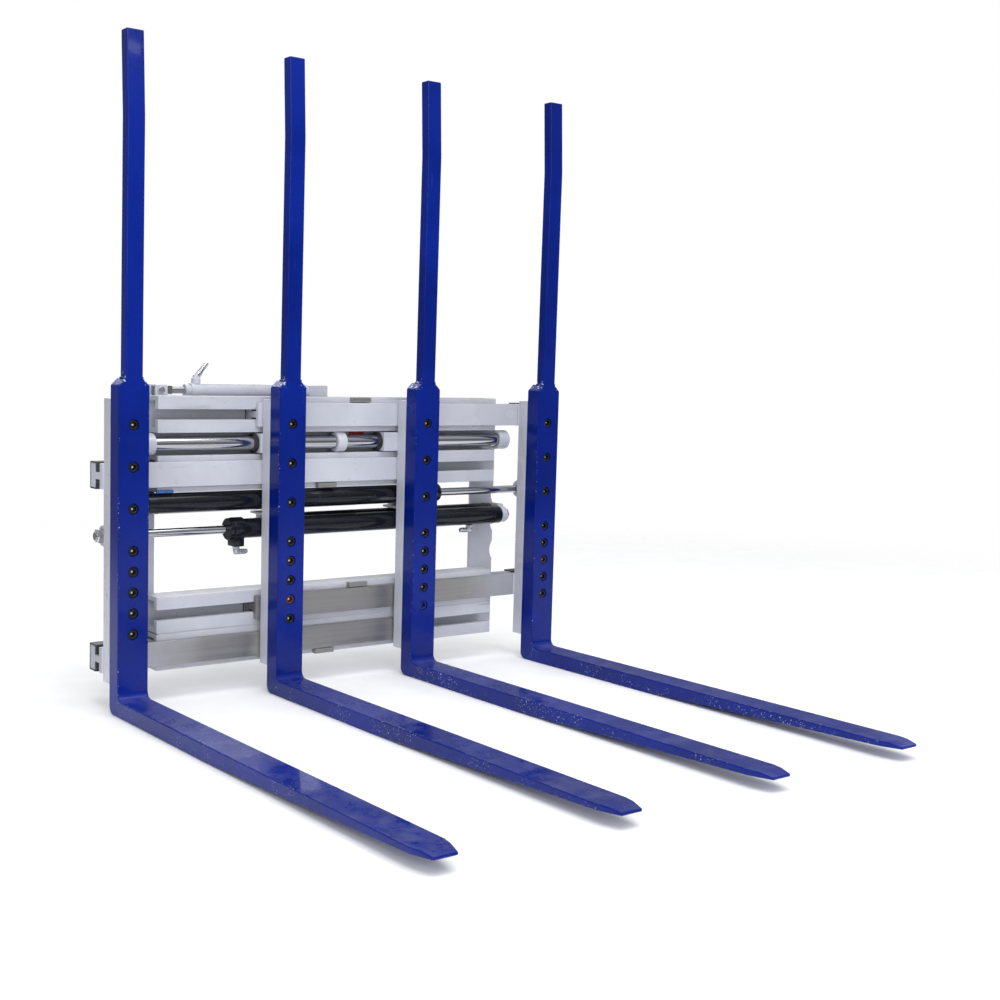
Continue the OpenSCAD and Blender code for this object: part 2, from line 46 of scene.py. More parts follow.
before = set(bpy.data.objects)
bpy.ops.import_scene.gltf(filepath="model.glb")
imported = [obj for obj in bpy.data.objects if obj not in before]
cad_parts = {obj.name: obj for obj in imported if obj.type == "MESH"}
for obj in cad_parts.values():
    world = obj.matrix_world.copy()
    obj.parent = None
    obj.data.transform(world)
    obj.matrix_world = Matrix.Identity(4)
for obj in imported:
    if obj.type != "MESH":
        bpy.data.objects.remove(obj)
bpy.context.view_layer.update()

# The load face is the shanks' front; depths in millimetres count back from it
SHANK_DEPTH = 0.050
LOAD_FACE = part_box("left_outer_fork")[1].y - SHANK_DEPTH
FORKS = ("left_outer", "left_inner", "right_inner", "right_outer")
SIDE = {"left_outer": -1, "left_inner": -1, "right_inner": 1, "right_outer": 1}
RAILS = ("top_rail", "upper_rail", "lower_rail", "bottom_rail")
BOLT_HEIGHTS = (710, 608, 506, 404, 353, 302, 251, 200)
HOOK_SCREW_X = (-212, -148, 148, 212)
SIDE_PLATE_WIDTH = 0.086
CARRIER_HALF = 0.040

RIGHTWARDS, FORWARDS, BACKWARDS = (1, 0, 0), (0, -1, 0), (0, 1, 0)
UPWARDS, DOWNWARDS = (0, 0, 1), (0, 0, -1)

# Each coat is a material slot and the finish that fills it
BLUE = ("blue_paint", "fork_paint")
WHITE = ("white_paint", "frame_paint")
STEEL = ("bare_steel", "steel")
BLACK = ("black_paint", "cylinder_paint")
CHROME = ("chrome_rod", "chrome")
ZINC = ("zinc_plate", "zinc")
BLACKENED = ("black_bolt", "screws")
PLASTIC = ("slide_plastic", "pads")
RUBBER = ("seal_rubber", "rubber")
BRONZE = ("bronze", "bronze")
RED_CAP = ("slide_plastic", "red_cap")
BLUE_CAP = ("slide_plastic", "blue_cap")

# The camera's lens shift in frame widths, and its sensor width in millimetres
CAMERA_SHIFT = (0.085, -0.01)
SENSOR_WIDTH = 36

# Name, place, aim, size, watts, and whether gloss mirrors the light
LIGHTS = (
    ("ceiling_light", (-0.3, -0.9, 4.0), (0, 0.3, 0.5), (3.6, 2.4), 100, True),
    ("key_light", (-3.6, -2.6, 2.3), (-0.2, 0.6, 0.6), (2.2, 2.0), 50, True),
    ("front_fill", (-1.5, -3.4, 0.9), (0, 0.6, 0.45), (3.2, 1.8), 46, False),
    ("strip_light", (-0.5, -2.6, 2.7), (0, 0.6, 0.6), (3.0, 0.10), 12, True),
    ("right_light", (4.2, -0.4, 1.9), (0, 0.5, 0.6), (1.8, 1.8), 34, True),
    ("rear_light", (0.8, 4.2, 2.4), (0, 0.6, 0.6), (2.8, 1.8), 54, True),
)

# The room's grey by height, with the horizon at 0.5 and straight up at 1, and its tint
ROOM_LEVELS = ((0.50, 0.26), (0.56, 0.14), (0.64, 0.34), (0.80, 0.62), (1.0, 0.82))
ROOM_TINT = (0.97, 0.985, 1.0)


def centre(node):
    low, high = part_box(node)
    return (low + high) / 2


def at(x, y, z):
    """A point given in millimetres, its depth counted back from the load face."""
    return Vector((x / 1000, LOAD_FACE + y / 1000, z / 1000))


def axis(node):
    """The depth and the height, in millimetres, of a round part's axis."""
    middle = centre(node)
    return round((middle.y - LOAD_FACE) * 1000, 2), round(middle.z * 1000, 2)


def end_x(node, end):
    """A part's left (0) or right (1) end, in millimetres."""
    return round(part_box(node)[end].x * 1000, 2)


OUTER_X = centre("right_outer_fork").x
INNER_X = centre("right_inner_fork").x
CARRIER_BACK = LOAD_FACE + 0.0885

FRONT_AXIS, SHAFT_Z = axis("guide_shaft")
REAR_AXIS, LEFT_INNER_Z = axis("left_inner_rod")
SHIFT_AXIS, SHIFT_Z = axis("shift_barrel")
UPPER_Z = axis("upper_outer_barrel")[1]
LOWER_Z = axis("lower_outer_barrel")[1]
RIGHT_INNER_Z = axis("right_inner_rod")[1]
BARREL_BASE_X = end_x("inner_barrels", 1)
GLAND_X = end_x("outer_glands", 1)
ANCHOR_FACE_X = end_x("cylinder_anchors", 1)
OUTER_ROD_X = end_x("right_outer_rod", 0)
INNER_ROD_X = end_x("right_inner_rod", 0)


# ---------------------------------------------------------------- settings


class HandlerFinishes(bpy.types.PropertyGroup):
    """Colours of the paints, metals and plastics"""

    fork_blue: bpy.props.FloatVectorProperty(
        name="Fork blue", description="Gloss paint of the forks and backrest bars",
        default=(0.0002, 0.0105, 0.168), size=3, min=0, max=1, subtype="COLOR")
    frame_white: bpy.props.FloatVectorProperty(
        name="Frame white", description="Paint of the rails, beams, carriers and plates",
        default=(0.48, 0.495, 0.555), size=3, min=0, max=1, subtype="COLOR")
    bare_steel: bpy.props.FloatVectorProperty(
        name="Bare steel", description="Unpainted lower beams and keeper blocks",
        default=(0.34, 0.335, 0.33), size=3, min=0, max=1, subtype="COLOR")
    cylinder_black: bpy.props.FloatVectorProperty(
        name="Cylinder black", description="Gloss paint of the hydraulic cylinders",
        default=(0.006, 0.007, 0.011), size=3, min=0, max=1, subtype="COLOR")
    chrome: bpy.props.FloatVectorProperty(
        name="Chrome", description="Hard chrome of the shaft and piston rods",
        default=(0.46, 0.47, 0.50), size=3, min=0, max=1, subtype="COLOR")
    zinc: bpy.props.FloatVectorProperty(
        name="Zinc", description="Zinc plate of the fittings, nuts and pin",
        default=(0.62, 0.63, 0.66), size=3, min=0, max=1, subtype="COLOR")


class HandlerShapes(bpy.types.PropertyGroup):
    """Sizes that finish the shapes"""

    fork_edge: bpy.props.FloatProperty(
        name="Fork edge", description="Radius of a fork's long edges",
        default=0.003, min=0.0005, max=0.006, unit="LENGTH")
    plate_edge: bpy.props.FloatProperty(
        name="Plate edge", description="Radius of the frame's plate and rail edges",
        default=0.0018, min=0.0003, max=0.004, unit="LENGTH")
    weld_radius: bpy.props.FloatProperty(
        name="Weld radius", description="Half the width of a weld bead",
        default=0.0035, min=0.001, max=0.006, unit="LENGTH")
    weld_pitch: bpy.props.FloatProperty(
        name="Weld pitch", description="Distance between two ripples of a weld bead",
        default=0.0042, min=0.002, max=0.01, unit="LENGTH")


class HandlerStudio(bpy.types.PropertyGroup):
    """Floor, lights and camera"""

    camera_place: bpy.props.FloatVectorProperty(
        name="Camera place", description="Where the camera stands",
        default=(-2.0637, -2.5636, 0.8550), size=3, subtype="XYZ", unit="LENGTH")
    camera_yaw: bpy.props.FloatProperty(
        name="Camera yaw", description="Turn from +Y towards +X",
        default=math.radians(36.074), subtype="ANGLE", unit="ROTATION")
    camera_pitch: bpy.props.FloatProperty(
        name="Camera pitch", description="Tilt below the horizon",
        default=math.radians(4.936), subtype="ANGLE", unit="ROTATION")
    camera_roll: bpy.props.FloatProperty(
        name="Camera roll", description="Turn about the line of sight",
        default=math.radians(1.318), subtype="ANGLE", unit="ROTATION")
    lens: bpy.props.FloatProperty(
        name="Lens", description="Focal length in millimetres on a 36 mm sensor",
        default=49.694, min=10, max=200)
    floor_radius: bpy.props.FloatProperty(
        name="Floor radius", description="Radius of the pale floor disc",
        default=5.5, min=2, max=20, unit="LENGTH")


# ---------------------------------------------------------- modelling tools


def only(piece):
    """Selects one piece and nothing else, and makes it the active one."""
    bpy.ops.object.select_all(action="DESELECT")
    piece.select_set(True)
    bpy.context.view_layer.objects.active = piece
    return piece


def newest(name):
    """Names the primitive just added and puts its place into its mesh."""
    piece = bpy.context.view_layer.objects.active
    piece.name = name
    piece.data.name = name
    bpy.ops.object.transform_apply(location=True, rotation=True, scale=True)
    return piece


def block(name, low, high):
    """A rectangular blank between two corners, ready to be shaped."""
    bpy.ops.object.select_all(action="DESELECT")
    size = high - low
    bpy.ops.mesh.primitive_cube_add(size=1, location=(low + high) / 2, scale=size)
    return newest(name)


def clean_normals(piece):
    only(piece)
    bpy.ops.object.mode_set(mode="EDIT")
    bpy.ops.mesh.select_all(action="SELECT")
    bpy.ops.mesh.remove_doubles(threshold=0.00001)
    bpy.ops.mesh.normals_make_consistent(inside=False)
    bpy.ops.object.mode_set(mode="OBJECT")
    return piece


def turned(name, steps, base, direction, sides=48, hollow=False):
    """A piece turned on a lathe. Each step is (distance along the axis, radius)
    in millimetres. A hollow one ends where it began."""
    bpy.ops.object.select_all(action="DESELECT")
    z, r = steps[0][0] / 1000, steps[0][1] / 1000
    bpy.ops.mesh.primitive_circle_add(
        vertices=sides, radius=r, location=(0, 0, z),
        fill_type="NOTHING" if hollow else "NGON")
    piece = newest(name)
    bpy.ops.object.mode_set(mode="EDIT")
    bpy.ops.mesh.select_all(action="SELECT")
    for (z0, r0), (z1, r1) in zip(steps, steps[1:]):
        bpy.ops.mesh.extrude_region_move(
            TRANSFORM_OT_translate={"value": (0, 0, (z1 - z0) / 1000)})
        if r1 != r0:
            bpy.ops.transform.resize(value=(r1 / r0, r1 / r0, 1), center_override=(0, 0, 0))
    bpy.ops.object.mode_set(mode="OBJECT")
    clean_normals(piece)
    return laid(piece, base, direction)


def laid(piece, base, direction):
    """Turns a piece from +Z to a direction and moves its origin to base."""
    only(piece)
    piece.rotation_mode = "QUATERNION"
    piece.rotation_quaternion = Vector((0, 0, 1)).rotation_difference(Vector(direction))
    piece.location = base
    bpy.ops.object.transform_apply(location=True, rotation=True, scale=True)
    piece.rotation_mode = "XYZ"
    return piece


def copy_at(piece, name, shift):
    """A copy with its own mesh, moved by shift."""
    twin = piece.copy()
    twin.data = piece.data.copy()
    twin.name = twin.data.name = name
    bpy.context.scene.collection.objects.link(twin)
    only(twin)
    twin.location = shift
    bpy.ops.object.transform_apply(location=True, rotation=False, scale=False)
    return twin


def joined(name, parts):
    """Several parts as one piece."""
    bpy.ops.object.select_all(action="DESELECT")
    for part in parts:
        part.select_set(True)
    bpy.context.view_layer.objects.active = parts[0]
    if len(parts) > 1:
        bpy.ops.object.join()
    parts[0].name = parts[0].data.name = name
    return parts[0]


def cut_out(piece, cutter):
    """Cuts one piece's shape out of another and removes the cutter."""
    only(piece)
    cut = piece.modifiers.new("cut", "BOOLEAN")
    cut.operation = "DIFFERENCE"
    cut.solver = "EXACT"
    cut.object = cutter
    bpy.ops.object.modifier_apply(modifier=cut.name)
    bpy.data.objects.remove(cutter)
    return piece


def copy_of(node, name):
    """A copy of a frame part with its flat faces made whole again."""
    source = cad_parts[node]
    piece = bpy.data.objects.new(name, source.data.copy())
    piece.data.name = name
    bpy.context.scene.collection.objects.link(piece)
    only(piece)
    bpy.ops.mesh.customdata_custom_splitnormals_clear()
    bpy.ops.object.mode_set(mode="EDIT")
    bpy.ops.mesh.select_all(action="SELECT")
    bpy.ops.mesh.remove_doubles(threshold=0.00002)
    bpy.ops.mesh.dissolve_limited(angle_limit=math.radians(0.4))
    bpy.ops.mesh.mark_sharp(clear=True)
    bpy.ops.object.mode_set(mode="OBJECT")
    return piece


def pick(piece, kind, test):
    """Selects the edges or vertices that pass a test, in edit mode."""
    bpy.ops.mesh.select_mode(type=kind)
    bpy.ops.mesh.select_all(action="DESELECT")
    shape = bmesh.from_edit_mesh(piece.data)
    for item in shape.edges if kind == "EDGE" else shape.verts:
        item.select_set(bool(test(item)))
    bmesh.update_edit_mesh(piece.data)


def rounded(piece, width, segments=2, where=None, limit=30.0):
    """Rounds the sharp edges whose middle passes the where test."""
    only(piece)
    bpy.ops.object.mode_set(mode="EDIT")
    sharp = math.radians(limit)

    def chosen(edge):
        if len(edge.link_faces) != 2 or edge.calc_face_angle(0) <= sharp:
            return False
        return where is None or where((edge.verts[0].co + edge.verts[1].co) / 2)

    pick(piece, "EDGE", chosen)
    bpy.ops.mesh.bevel(
        offset=width, offset_type="OFFSET", segments=segments, profile=0.5,
        affect="EDGES", clamp_overlap=False)
    bpy.ops.mesh.select_mode(type="VERT")
    bpy.ops.object.mode_set(mode="OBJECT")
    return piece


def smoothed(piece, angle):
    """Smooth shading that keeps the flats flat."""
    only(piece)
    bpy.ops.object.shade_smooth_by_angle(angle=math.radians(angle))
    weight = piece.modifiers.new("flats", "WEIGHTED_NORMAL")
    weight.keep_sharp = True
    bpy.ops.object.modifier_apply(modifier=weight.name)
    return piece


def weld_bead(name, start, end, radius, pitch):
    """A rippled bead of weld metal from start to end."""
    length = (end - start).length
    count = max(3, round(length / pitch))
    step = length / count
    bpy.ops.object.select_all(action="DESELECT")
    bpy.ops.mesh.primitive_cylinder_add(
        vertices=10, radius=radius * 0.86, depth=step, end_fill_type="NOTHING",
        location=(0, 0, step / 2))
    piece = newest(name)
    bpy.ops.object.mode_set(mode="EDIT")
    pick(piece, "EDGE", lambda edge: abs(edge.verts[0].co.z - edge.verts[1].co.z) > step / 2)
    bpy.ops.mesh.subdivide(number_cuts=1)
    pick(piece, "VERT", lambda vertex: abs(vertex.co.z - step / 2) < step / 8)
    bpy.ops.transform.resize(value=(1.16, 1.16, 1), center_override=(0, 0, step / 2))
    bpy.ops.object.mode_set(mode="OBJECT")
    chain = piece.modifiers.new("ripples", "ARRAY")
    chain.count = count
    chain.use_relative_offset = False
    chain.use_constant_offset = True
    chain.constant_offset_displace = (0, 0, step)
    chain.use_merge_vertices = True
    chain.merge_threshold = step / 20
    bpy.ops.object.modifier_apply(modifier=chain.name)
    bpy.ops.object.mode_set(mode="EDIT")
    for end_z in (0, length):
        pick(piece, "VERT", lambda vertex: abs(vertex.co.z - end_z) < step / 8)
        bpy.ops.transform.resize(value=(0.45, 0.45, 1), center_override=(0, 0, end_z))
    bpy.ops.mesh.select_all(action="SELECT")
    bpy.ops.transform.vertex_random(offset=radius * 0.12, seed=count)
    bpy.ops.mesh.fill_holes(sides=12)
    bpy.ops.mesh.normals_make_consistent(inside=False)
    bpy.ops.object.mode_set(mode="OBJECT")
    laid(piece, start, end - start)
    bpy.ops.object.shade_smooth()
    return piece


def upright_bead(name, middle, reach, weld):
    """A standing weld bead that reaches as far above its middle as below it."""
    rise = Vector((0, 0, reach))
    return weld_bead(name, middle - rise, middle + rise, *weld)


def settled(piece, body, coat, stands_for=()):
    """Gives a finished piece its material and the body it rides on."""
    slot, paint = coat
    piece.data.materials.clear()
    piece.data.materials.append(finish(paint))
    for face in piece.data.polygons:
        face.material_index = 0
    if stands_for:
        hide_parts(*stands_for)
    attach(piece, body)
    return piece


def finished(piece, angle, body, coat, stands_for=()):
    """Smooths a piece whose shape is done, and settles it."""
    return settled(smoothed(piece, angle), body, coat, stands_for)


def eased(node, name, body, coat, width, segments=2, where=None, limit=30.0):
    """A frame part's copy with rounded edges, finished in the part's place."""
    piece = rounded(copy_of(node, name), width, segments, where, limit)
    return finished(piece, 40.0, body, coat, [node])


# ------------------------------------------------------------- shader maths


class Flow:
    """A value, colour or vector on its way through a material's nodes."""

    def __init__(self, recipe, socket):
        self.recipe = recipe
        self.socket = socket

    def _maths(self, operation, first, second):
        return self.recipe.node("ShaderNodeMath", {"operation": operation}, {0: first, 1: second})

    def __add__(self, other):
        return self._maths("ADD", self, other)

    def __radd__(self, other):
        return self._maths("ADD", other, self)

    def __sub__(self, other):
        return self._maths("SUBTRACT", self, other)

    def __rsub__(self, other):
        return self._maths("SUBTRACT", other, self)

    def __mul__(self, other):
        return self._maths("MULTIPLY", self, other)

    def __rmul__(self, other):
        return self._maths("MULTIPLY", other, self)

    def __abs__(self):
        return self.recipe.node("ShaderNodeMath", {"operation": "ABSOLUTE"}, {0: self})

    def lower_of(self, other):
        return self._maths("MINIMUM", self, other)

    def higher_of(self, other):
        return self._maths("MAXIMUM", self, other)


class Recipe:
    """A material and the nodes that make it."""

    def __init__(self, name):
        self.material = bpy.data.materials.new(name)
        self.material.use_nodes = True
        self.tree = self.material.node_tree
        self.tree.nodes.clear()
        self.output = self.tree.nodes.new("ShaderNodeOutputMaterial")
        self.place = self.node("ShaderNodeTexCoord", {}, {}, "Object")

    def node(self, kind, settings, sockets, out=0):
        """Adds a node, sets it, feeds its sockets and returns one of its outputs."""
        made = self.tree.nodes.new(kind)
        for key, value in settings.items():
            if key == "stops":
                ramp = made.color_ramp.elements
                while len(ramp) < len(value):
                    ramp.new(1.0)
                for stop, (position, colour) in zip(ramp, value):
                    stop.position = position
                    stop.color = (*colour, 1.0)
            else:
                setattr(made, key, value)
        for key, value in sockets.items():
            if isinstance(value, Flow):
                self.tree.links.new(value.socket, made.inputs[key])
            elif hasattr(made.inputs[key].default_value, "__len__"):
                fill = made.inputs[key].default_value
                made.inputs[key].default_value = (*value, 1.0)[: len(fill)]
            else:
                made.inputs[key].default_value = value
        return Flow(self, made.outputs[out])

    def axes(self):
        """The three coordinates of a point on the object."""
        split = self.tree.nodes.new("ShaderNodeSeparateXYZ")
        self.tree.links.new(self.place.socket, split.inputs[0])
        return [Flow(self, split.outputs[i]) for i in range(3)]

    def stretched(self, x, y, z):
        """Object coordinates drawn out, so that a pattern follows one axis."""
        return self.node("ShaderNodeMapping", {}, {"Vector": self.place, "Scale": (x, y, z)})

    def clouds(self, scale, detail=3.0, rough=0.55, place=None):
        return self.node(
            "ShaderNodeTexNoise", {"noise_dimensions": "3D"},
            {"Vector": place or self.place, "Scale": scale, "Detail": detail, "Roughness": rough})

    def between(self, value, low, high):
        """0 below low, 1 above high, and a soft rise between them."""
        return self.node(
            "ShaderNodeMapRange", {"interpolation_type": "SMOOTHSTEP", "clamp": True},
            {"Value": value, "From Min": low, "From Max": high, "To Min": 0.0, "To Max": 1.0})

    def ranged(self, value, low, high):
        """A 0 to 1 value spread from low to high."""
        return value * (high - low) + low

    def blend(self, factor, first, second):
        """A colour between two colours."""
        return self.node(
            "ShaderNodeMix", {"data_type": "RGBA", "clamp_factor": True},
            {0: factor, 6: first, 7: second}, 2)

    def upward(self):
        """How far the surface faces up: 1 for a level top."""
        normal = self.node("ShaderNodeNewGeometry", {}, {}, "Normal")
        return self.node("ShaderNodeSeparateXYZ", {}, {0: normal}, 2)

    def bump(self, height, strength, distance):
        return self.node(
            "ShaderNodeBump", {}, {"Height": height, "Strength": strength, "Distance": distance})

    def surface(self, sockets):
        """Ends the material in a Principled surface with these sockets."""
        shader = self.node("ShaderNodeBsdfPrincipled", {}, sockets)
        self.tree.links.new(shader.socket, self.output.inputs["Surface"])
        return self.material


finishes = {}


def finish(name):
    """A finish by its name, mixed the first time that it is asked for."""
    if name not in finishes:
        finishes[name] = FINISH_MAKERS[name](bpy.context.scene.handler_finishes)
    return finishes[name]


def shade(colour, factor):
    """A lighter or darker tone of a colour."""
    return tuple(min(1.0, channel * factor) for channel in colour)


def fork_paint(colours):
    """Gloss blue with flow marks, a dust film, chips along the front edges, and pale specks on the
    bars' foot welds that are partly a painted highlight.
    """
    r = Recipe("fork_blue_gloss")
    x, y, z = r.axes()
    outer, inner = abs(abs(x) - OUTER_X), abs(abs(x) - INNER_X)
    across = outer.lower_of(inner)
    edge = r.between(across, 0.0355, 0.0385)
    front = 1 - r.between(y, LOAD_FACE + 0.002, LOAD_FACE + 0.007)
    spots = r.between(r.clouds(210.0, 4.0, 0.7), 0.615, 0.66)
    patches = r.between(r.clouds(9.0, 2.0), 0.48, 0.60)
    chips = edge * front * spots * patches
    # Pale bare-metal specks on the bars' foot welds: partly chipped paint, partly a painted highlight
    # standing in for glints of light off the weld.
    bar_foot = r.between(z, 0.802, 0.812) * (1 - r.between(z, 0.832, 0.840))
    weld_glint_specks = r.between(r.clouds(150.0, 3.0), 0.58, 0.64)
    bar_weld_painted_glint = bar_foot * r.between(across, 0.0215, 0.0235) * weld_glint_specks
    # The chipped paint and the painted weld highlight together, as one mask.
    chips_and_painted_glint = chips.higher_of(bar_weld_painted_glint)
    drift = r.clouds(3.2, 4.0, 0.6)
    tone = r.blend(
        r.between(drift, 0.3, 0.7), shade(colours.fork_blue, 0.82), shade(colours.fork_blue, 1.22))
    scratch_band = r.clouds(60.0, 2.0, 0.5, r.stretched(1.0, 1.0, 0.035))
    scratches = r.between(scratch_band, 0.70, 0.735) * r.between(r.clouds(5.0, 2.0), 0.5, 0.62)
    tone = r.blend(scratches * 0.22, tone, (0.10, 0.16, 0.46))
    dust = r.between(r.upward(), 0.6, 0.95) * r.between(r.clouds(14.0, 5.0, 0.65), 0.38, 0.68)
    tone = r.blend(dust * 0.10, tone, (0.42, 0.42, 0.44))
    tone = r.blend(chips_and_painted_glint, tone, (0.60, 0.62, 0.68))
    peel = r.clouds(330.0, 2.0, 0.5)
    sag = r.clouds(26.0, 2.0, 0.5, r.stretched(1.0, 1.0, 0.5))
    height = peel * 0.25 + sag * 1.4 - chips_and_painted_glint * 0.6
    return r.surface({
        "Base Color": tone,
        "Roughness": r.ranged(r.between(drift, 0.35, 0.7), 0.20, 0.30) + dust * 0.25 + chips_and_painted_glint * 0.12,
        "Metallic": chips_and_painted_glint * 0.55,
        "Coat Weight": r.ranged(1 - chips_and_painted_glint, 0.0, 0.10),
        "Coat Roughness": 0.05,
        "Specular IOR Level": 0.17,
        "Normal": r.bump(height, 0.16, 0.0012),
    })


def frame_paint(colours):
    """Pale gloss enamel with uneven spray, scuffs, dark rubs and dust on top."""
    r = Recipe("frame_white_enamel")
    spray = r.clouds(2.6, 4.0, 0.6)
    tone = r.blend(
        r.between(spray, 0.32, 0.68),
        shade(colours.frame_white, 0.90), shade(colours.frame_white, 1.10))
    lines = r.clouds(46.0, 3.0, 0.55, r.stretched(0.05, 1.0, 1.0))
    rubs = r.between(lines, 0.63, 0.70) * r.between(r.clouds(6.0, 2.0), 0.50, 0.62)
    tone = r.blend(rubs * 0.45, tone, (0.26, 0.25, 0.26))
    smudge = r.between(r.clouds(17.0, 5.0, 0.7), 0.60, 0.78)
    tone = r.blend(smudge * 0.22, tone, (0.40, 0.39, 0.41))
    cracks = r.node(
        "ShaderNodeTexVoronoi", {"feature": "F1"}, {"Vector": r.place, "Scale": 95.0}, "Distance")
    specks = (1 - r.between(cracks, 0.10, 0.17)) * r.between(r.clouds(11.0, 2.0), 0.58, 0.66)
    tone = r.blend(specks * 0.7, tone, (0.15, 0.14, 0.14))
    dust = r.between(r.upward(), 0.5, 0.95) * r.between(r.clouds(21.0, 4.0, 0.6), 0.40, 0.70)
    tone = r.blend(dust * 0.25, tone, (0.55, 0.52, 0.48))
    peel = r.clouds(260.0, 2.0, 0.5)
    runs = r.clouds(18.0, 3.0, 0.55, r.stretched(1.0, 1.0, 0.45))
    return r.surface({
        "Base Color": tone,
        "Roughness": r.ranged(r.between(spray, 0.3, 0.7), 0.26, 0.38) + rubs * 0.2 + dust * 0.2,
        "Coat Weight": r.ranged(1 - smudge, 0.05, 0.30),
        "Coat Roughness": 0.08,
        "Specular IOR Level": 0.5,
        "Normal": r.bump(peel * 0.3 + runs * 1.2, 0.22, 0.0011),
    })


def steel_finish(colours):
    """Ground bare steel: streaks along the beam, brown stains and oil."""
    r = Recipe("bare_ground_steel")
    x = r.axes()[0]
    streaks = r.clouds(130.0, 4.0, 0.6, r.stretched(0.02, 1.0, 1.0))
    stains = r.clouds(4.5, 5.0, 0.65)
    brown = r.between(stains, 0.50, 0.72)
    tone = r.blend(
        r.between(streaks, 0.3, 0.7),
        shade(colours.bare_steel, 0.92), shade(colours.bare_steel, 1.08))
    tone = r.blend(brown * 0.30, tone, (0.25, 0.235, 0.22))
    spots = r.between(r.clouds(70.0, 3.0, 0.6), 0.66, 0.74)
    tone = r.blend(spots * 0.25, tone, (0.20, 0.15, 0.12))
    drift = (r.clouds(7.0, 4.0, 0.6) - 0.5) * 0.24
    overspray = r.between(abs(x) + drift, 0.42, 0.60)
    tone = r.blend(overspray * 0.75, tone, shade(colours.frame_white, 0.85))
    fine = r.clouds(420.0, 2.0, 0.5, r.stretched(0.03, 1.0, 1.0))
    return r.surface({
        "Base Color": tone,
        "Metallic": r.ranged(1 - brown, 0.45, 0.85) * (1 - overspray * 0.7),
        "Roughness": r.ranged(r.between(streaks, 0.3, 0.7), 0.34, 0.50) + brown * 0.1,
        "Normal": r.bump(fine * 0.5 + streaks * 0.6, 0.18, 0.0006),
    })


def chrome_finish(colours):
    """Polished hard chrome with faint turning lines and an oily film."""
    r = Recipe("polished_chrome")
    turning = r.clouds(900.0, 2.0, 0.5, r.stretched(1.0, 0.02, 0.02))
    film = r.clouds(12.0, 4.0, 0.6, r.stretched(0.4, 1.0, 1.0))
    oily = r.between(film, 0.52, 0.70)
    tone = r.blend(oily * 0.35, colours.chrome, (0.50, 0.50, 0.49))
    return r.surface({
        "Base Color": tone,
        "Metallic": 1.0,
        "Roughness": r.ranged(oily, 0.07, 0.17),
        "Normal": r.bump(turning, 0.05, 0.0003),
    })


def cylinder_paint(colours):
    """Gloss black over turned steel, with dust specks and light rubs."""
    r = Recipe("cylinder_black_gloss")
    cloud = r.clouds(5.0, 4.0, 0.6)
    tone = r.blend(
        r.between(cloud, 0.35, 0.7),
        shade(colours.cylinder_black, 0.8), shade(colours.cylinder_black, 1.5))
    lines = r.clouds(70.0, 3.0, 0.55, r.stretched(0.03, 1.0, 1.0))
    rubs = r.between(lines, 0.66, 0.71) * r.between(r.clouds(7.0, 2.0), 0.5, 0.62)
    tone = r.blend(rubs * 0.5, tone, (0.16, 0.17, 0.19))
    dust = r.between(r.clouds(240.0, 3.0, 0.6), 0.66, 0.72)
    tone = r.blend(dust * 0.35, tone, (0.22, 0.22, 0.23))
    peel = r.clouds(240.0, 2.0, 0.5)
    return r.surface({
        "Base Color": tone,
        "Roughness": r.ranged(r.between(cloud, 0.3, 0.7), 0.12, 0.20) + rubs * 0.2 + dust * 0.2,
        "Coat Weight": r.ranged(1 - rubs, 0.03, 0.16),
        "Coat Roughness": 0.03,
        "Specular IOR Level": 0.22,
        "Normal": r.bump(peel, 0.10, 0.0008),
    })


def screw_finish(colours):
    """Blackened screws with a painted white glint at each socket's centre; one is rusted and one
    painted over.
    """
    r = Recipe("blackened_screws")
    x, _, z = r.axes()

    def near(sx, height):
        return (1 - r.between(abs(x - sx), 0.014, 0.016)) * (
            1 - r.between(abs(z - height), 0.014, 0.016))

    rusty = near(-INNER_X, 0.251).higher_of(near(-INNER_X, 0.353) * 0.22)
    rusty = rusty.higher_of(near(OUTER_X, 0.302) * 0.28)
    painted = near(INNER_X, 0.200)
    mottled = r.clouds(260.0, 4.0, 0.6)
    tone = r.blend(r.between(mottled, 0.3, 0.7), (0.008, 0.009, 0.009), (0.035, 0.038, 0.036))
    tone = r.blend(rusty * r.between(mottled, 0.35, 0.55), tone, (0.11, 0.012, 0.007))
    tone = r.blend(painted, tone, shade(colours.fork_blue, 0.8))
    # Painted highlight: a pale white dot at the centre of each screw's socket stands in for a glint of
    # light.
    across = abs(abs(x) - OUTER_X).lower_of(abs(abs(x) - INNER_X))
    level = r.node("ShaderNodeMath", {"operation": "PINGPONG"}, {0: z - 0.200, 1: 0.0255})
    painted_glint = (1 - r.between(across, 0.0016, 0.0028)) * (1 - r.between(level, 0.0016, 0.0028))
    tone = r.blend(painted_glint * (1 - painted), tone, (0.75, 0.75, 0.74))
    rust_paint_and_painted_glint = rusty.higher_of(painted).higher_of(painted_glint)
    return r.surface({
        "Base Color": tone,
        "Metallic": r.ranged(1 - rust_paint_and_painted_glint, 0.0, 0.7),
        "Roughness": r.ranged(r.between(mottled, 0.3, 0.7), 0.22, 0.38),
        "Normal": r.bump(mottled, 0.25, 0.0004),
    })


def pad_plastic(colours):
    """Dark moulded slide plastic with scoring along the travel."""
    r = Recipe("slide_pad_plastic")
    scoring = r.clouds(150.0, 3.0, 0.55, r.stretched(0.04, 1.0, 1.0))
    tone = r.blend(r.between(scoring, 0.4, 0.7), (0.030, 0.031, 0.036), (0.075, 0.078, 0.086))
    return r.surface({
        "Base Color": tone,
        "Roughness": r.ranged(r.between(scoring, 0.3, 0.7), 0.42, 0.60),
        "Normal": r.bump(scoring, 0.25, 0.0005),
    })


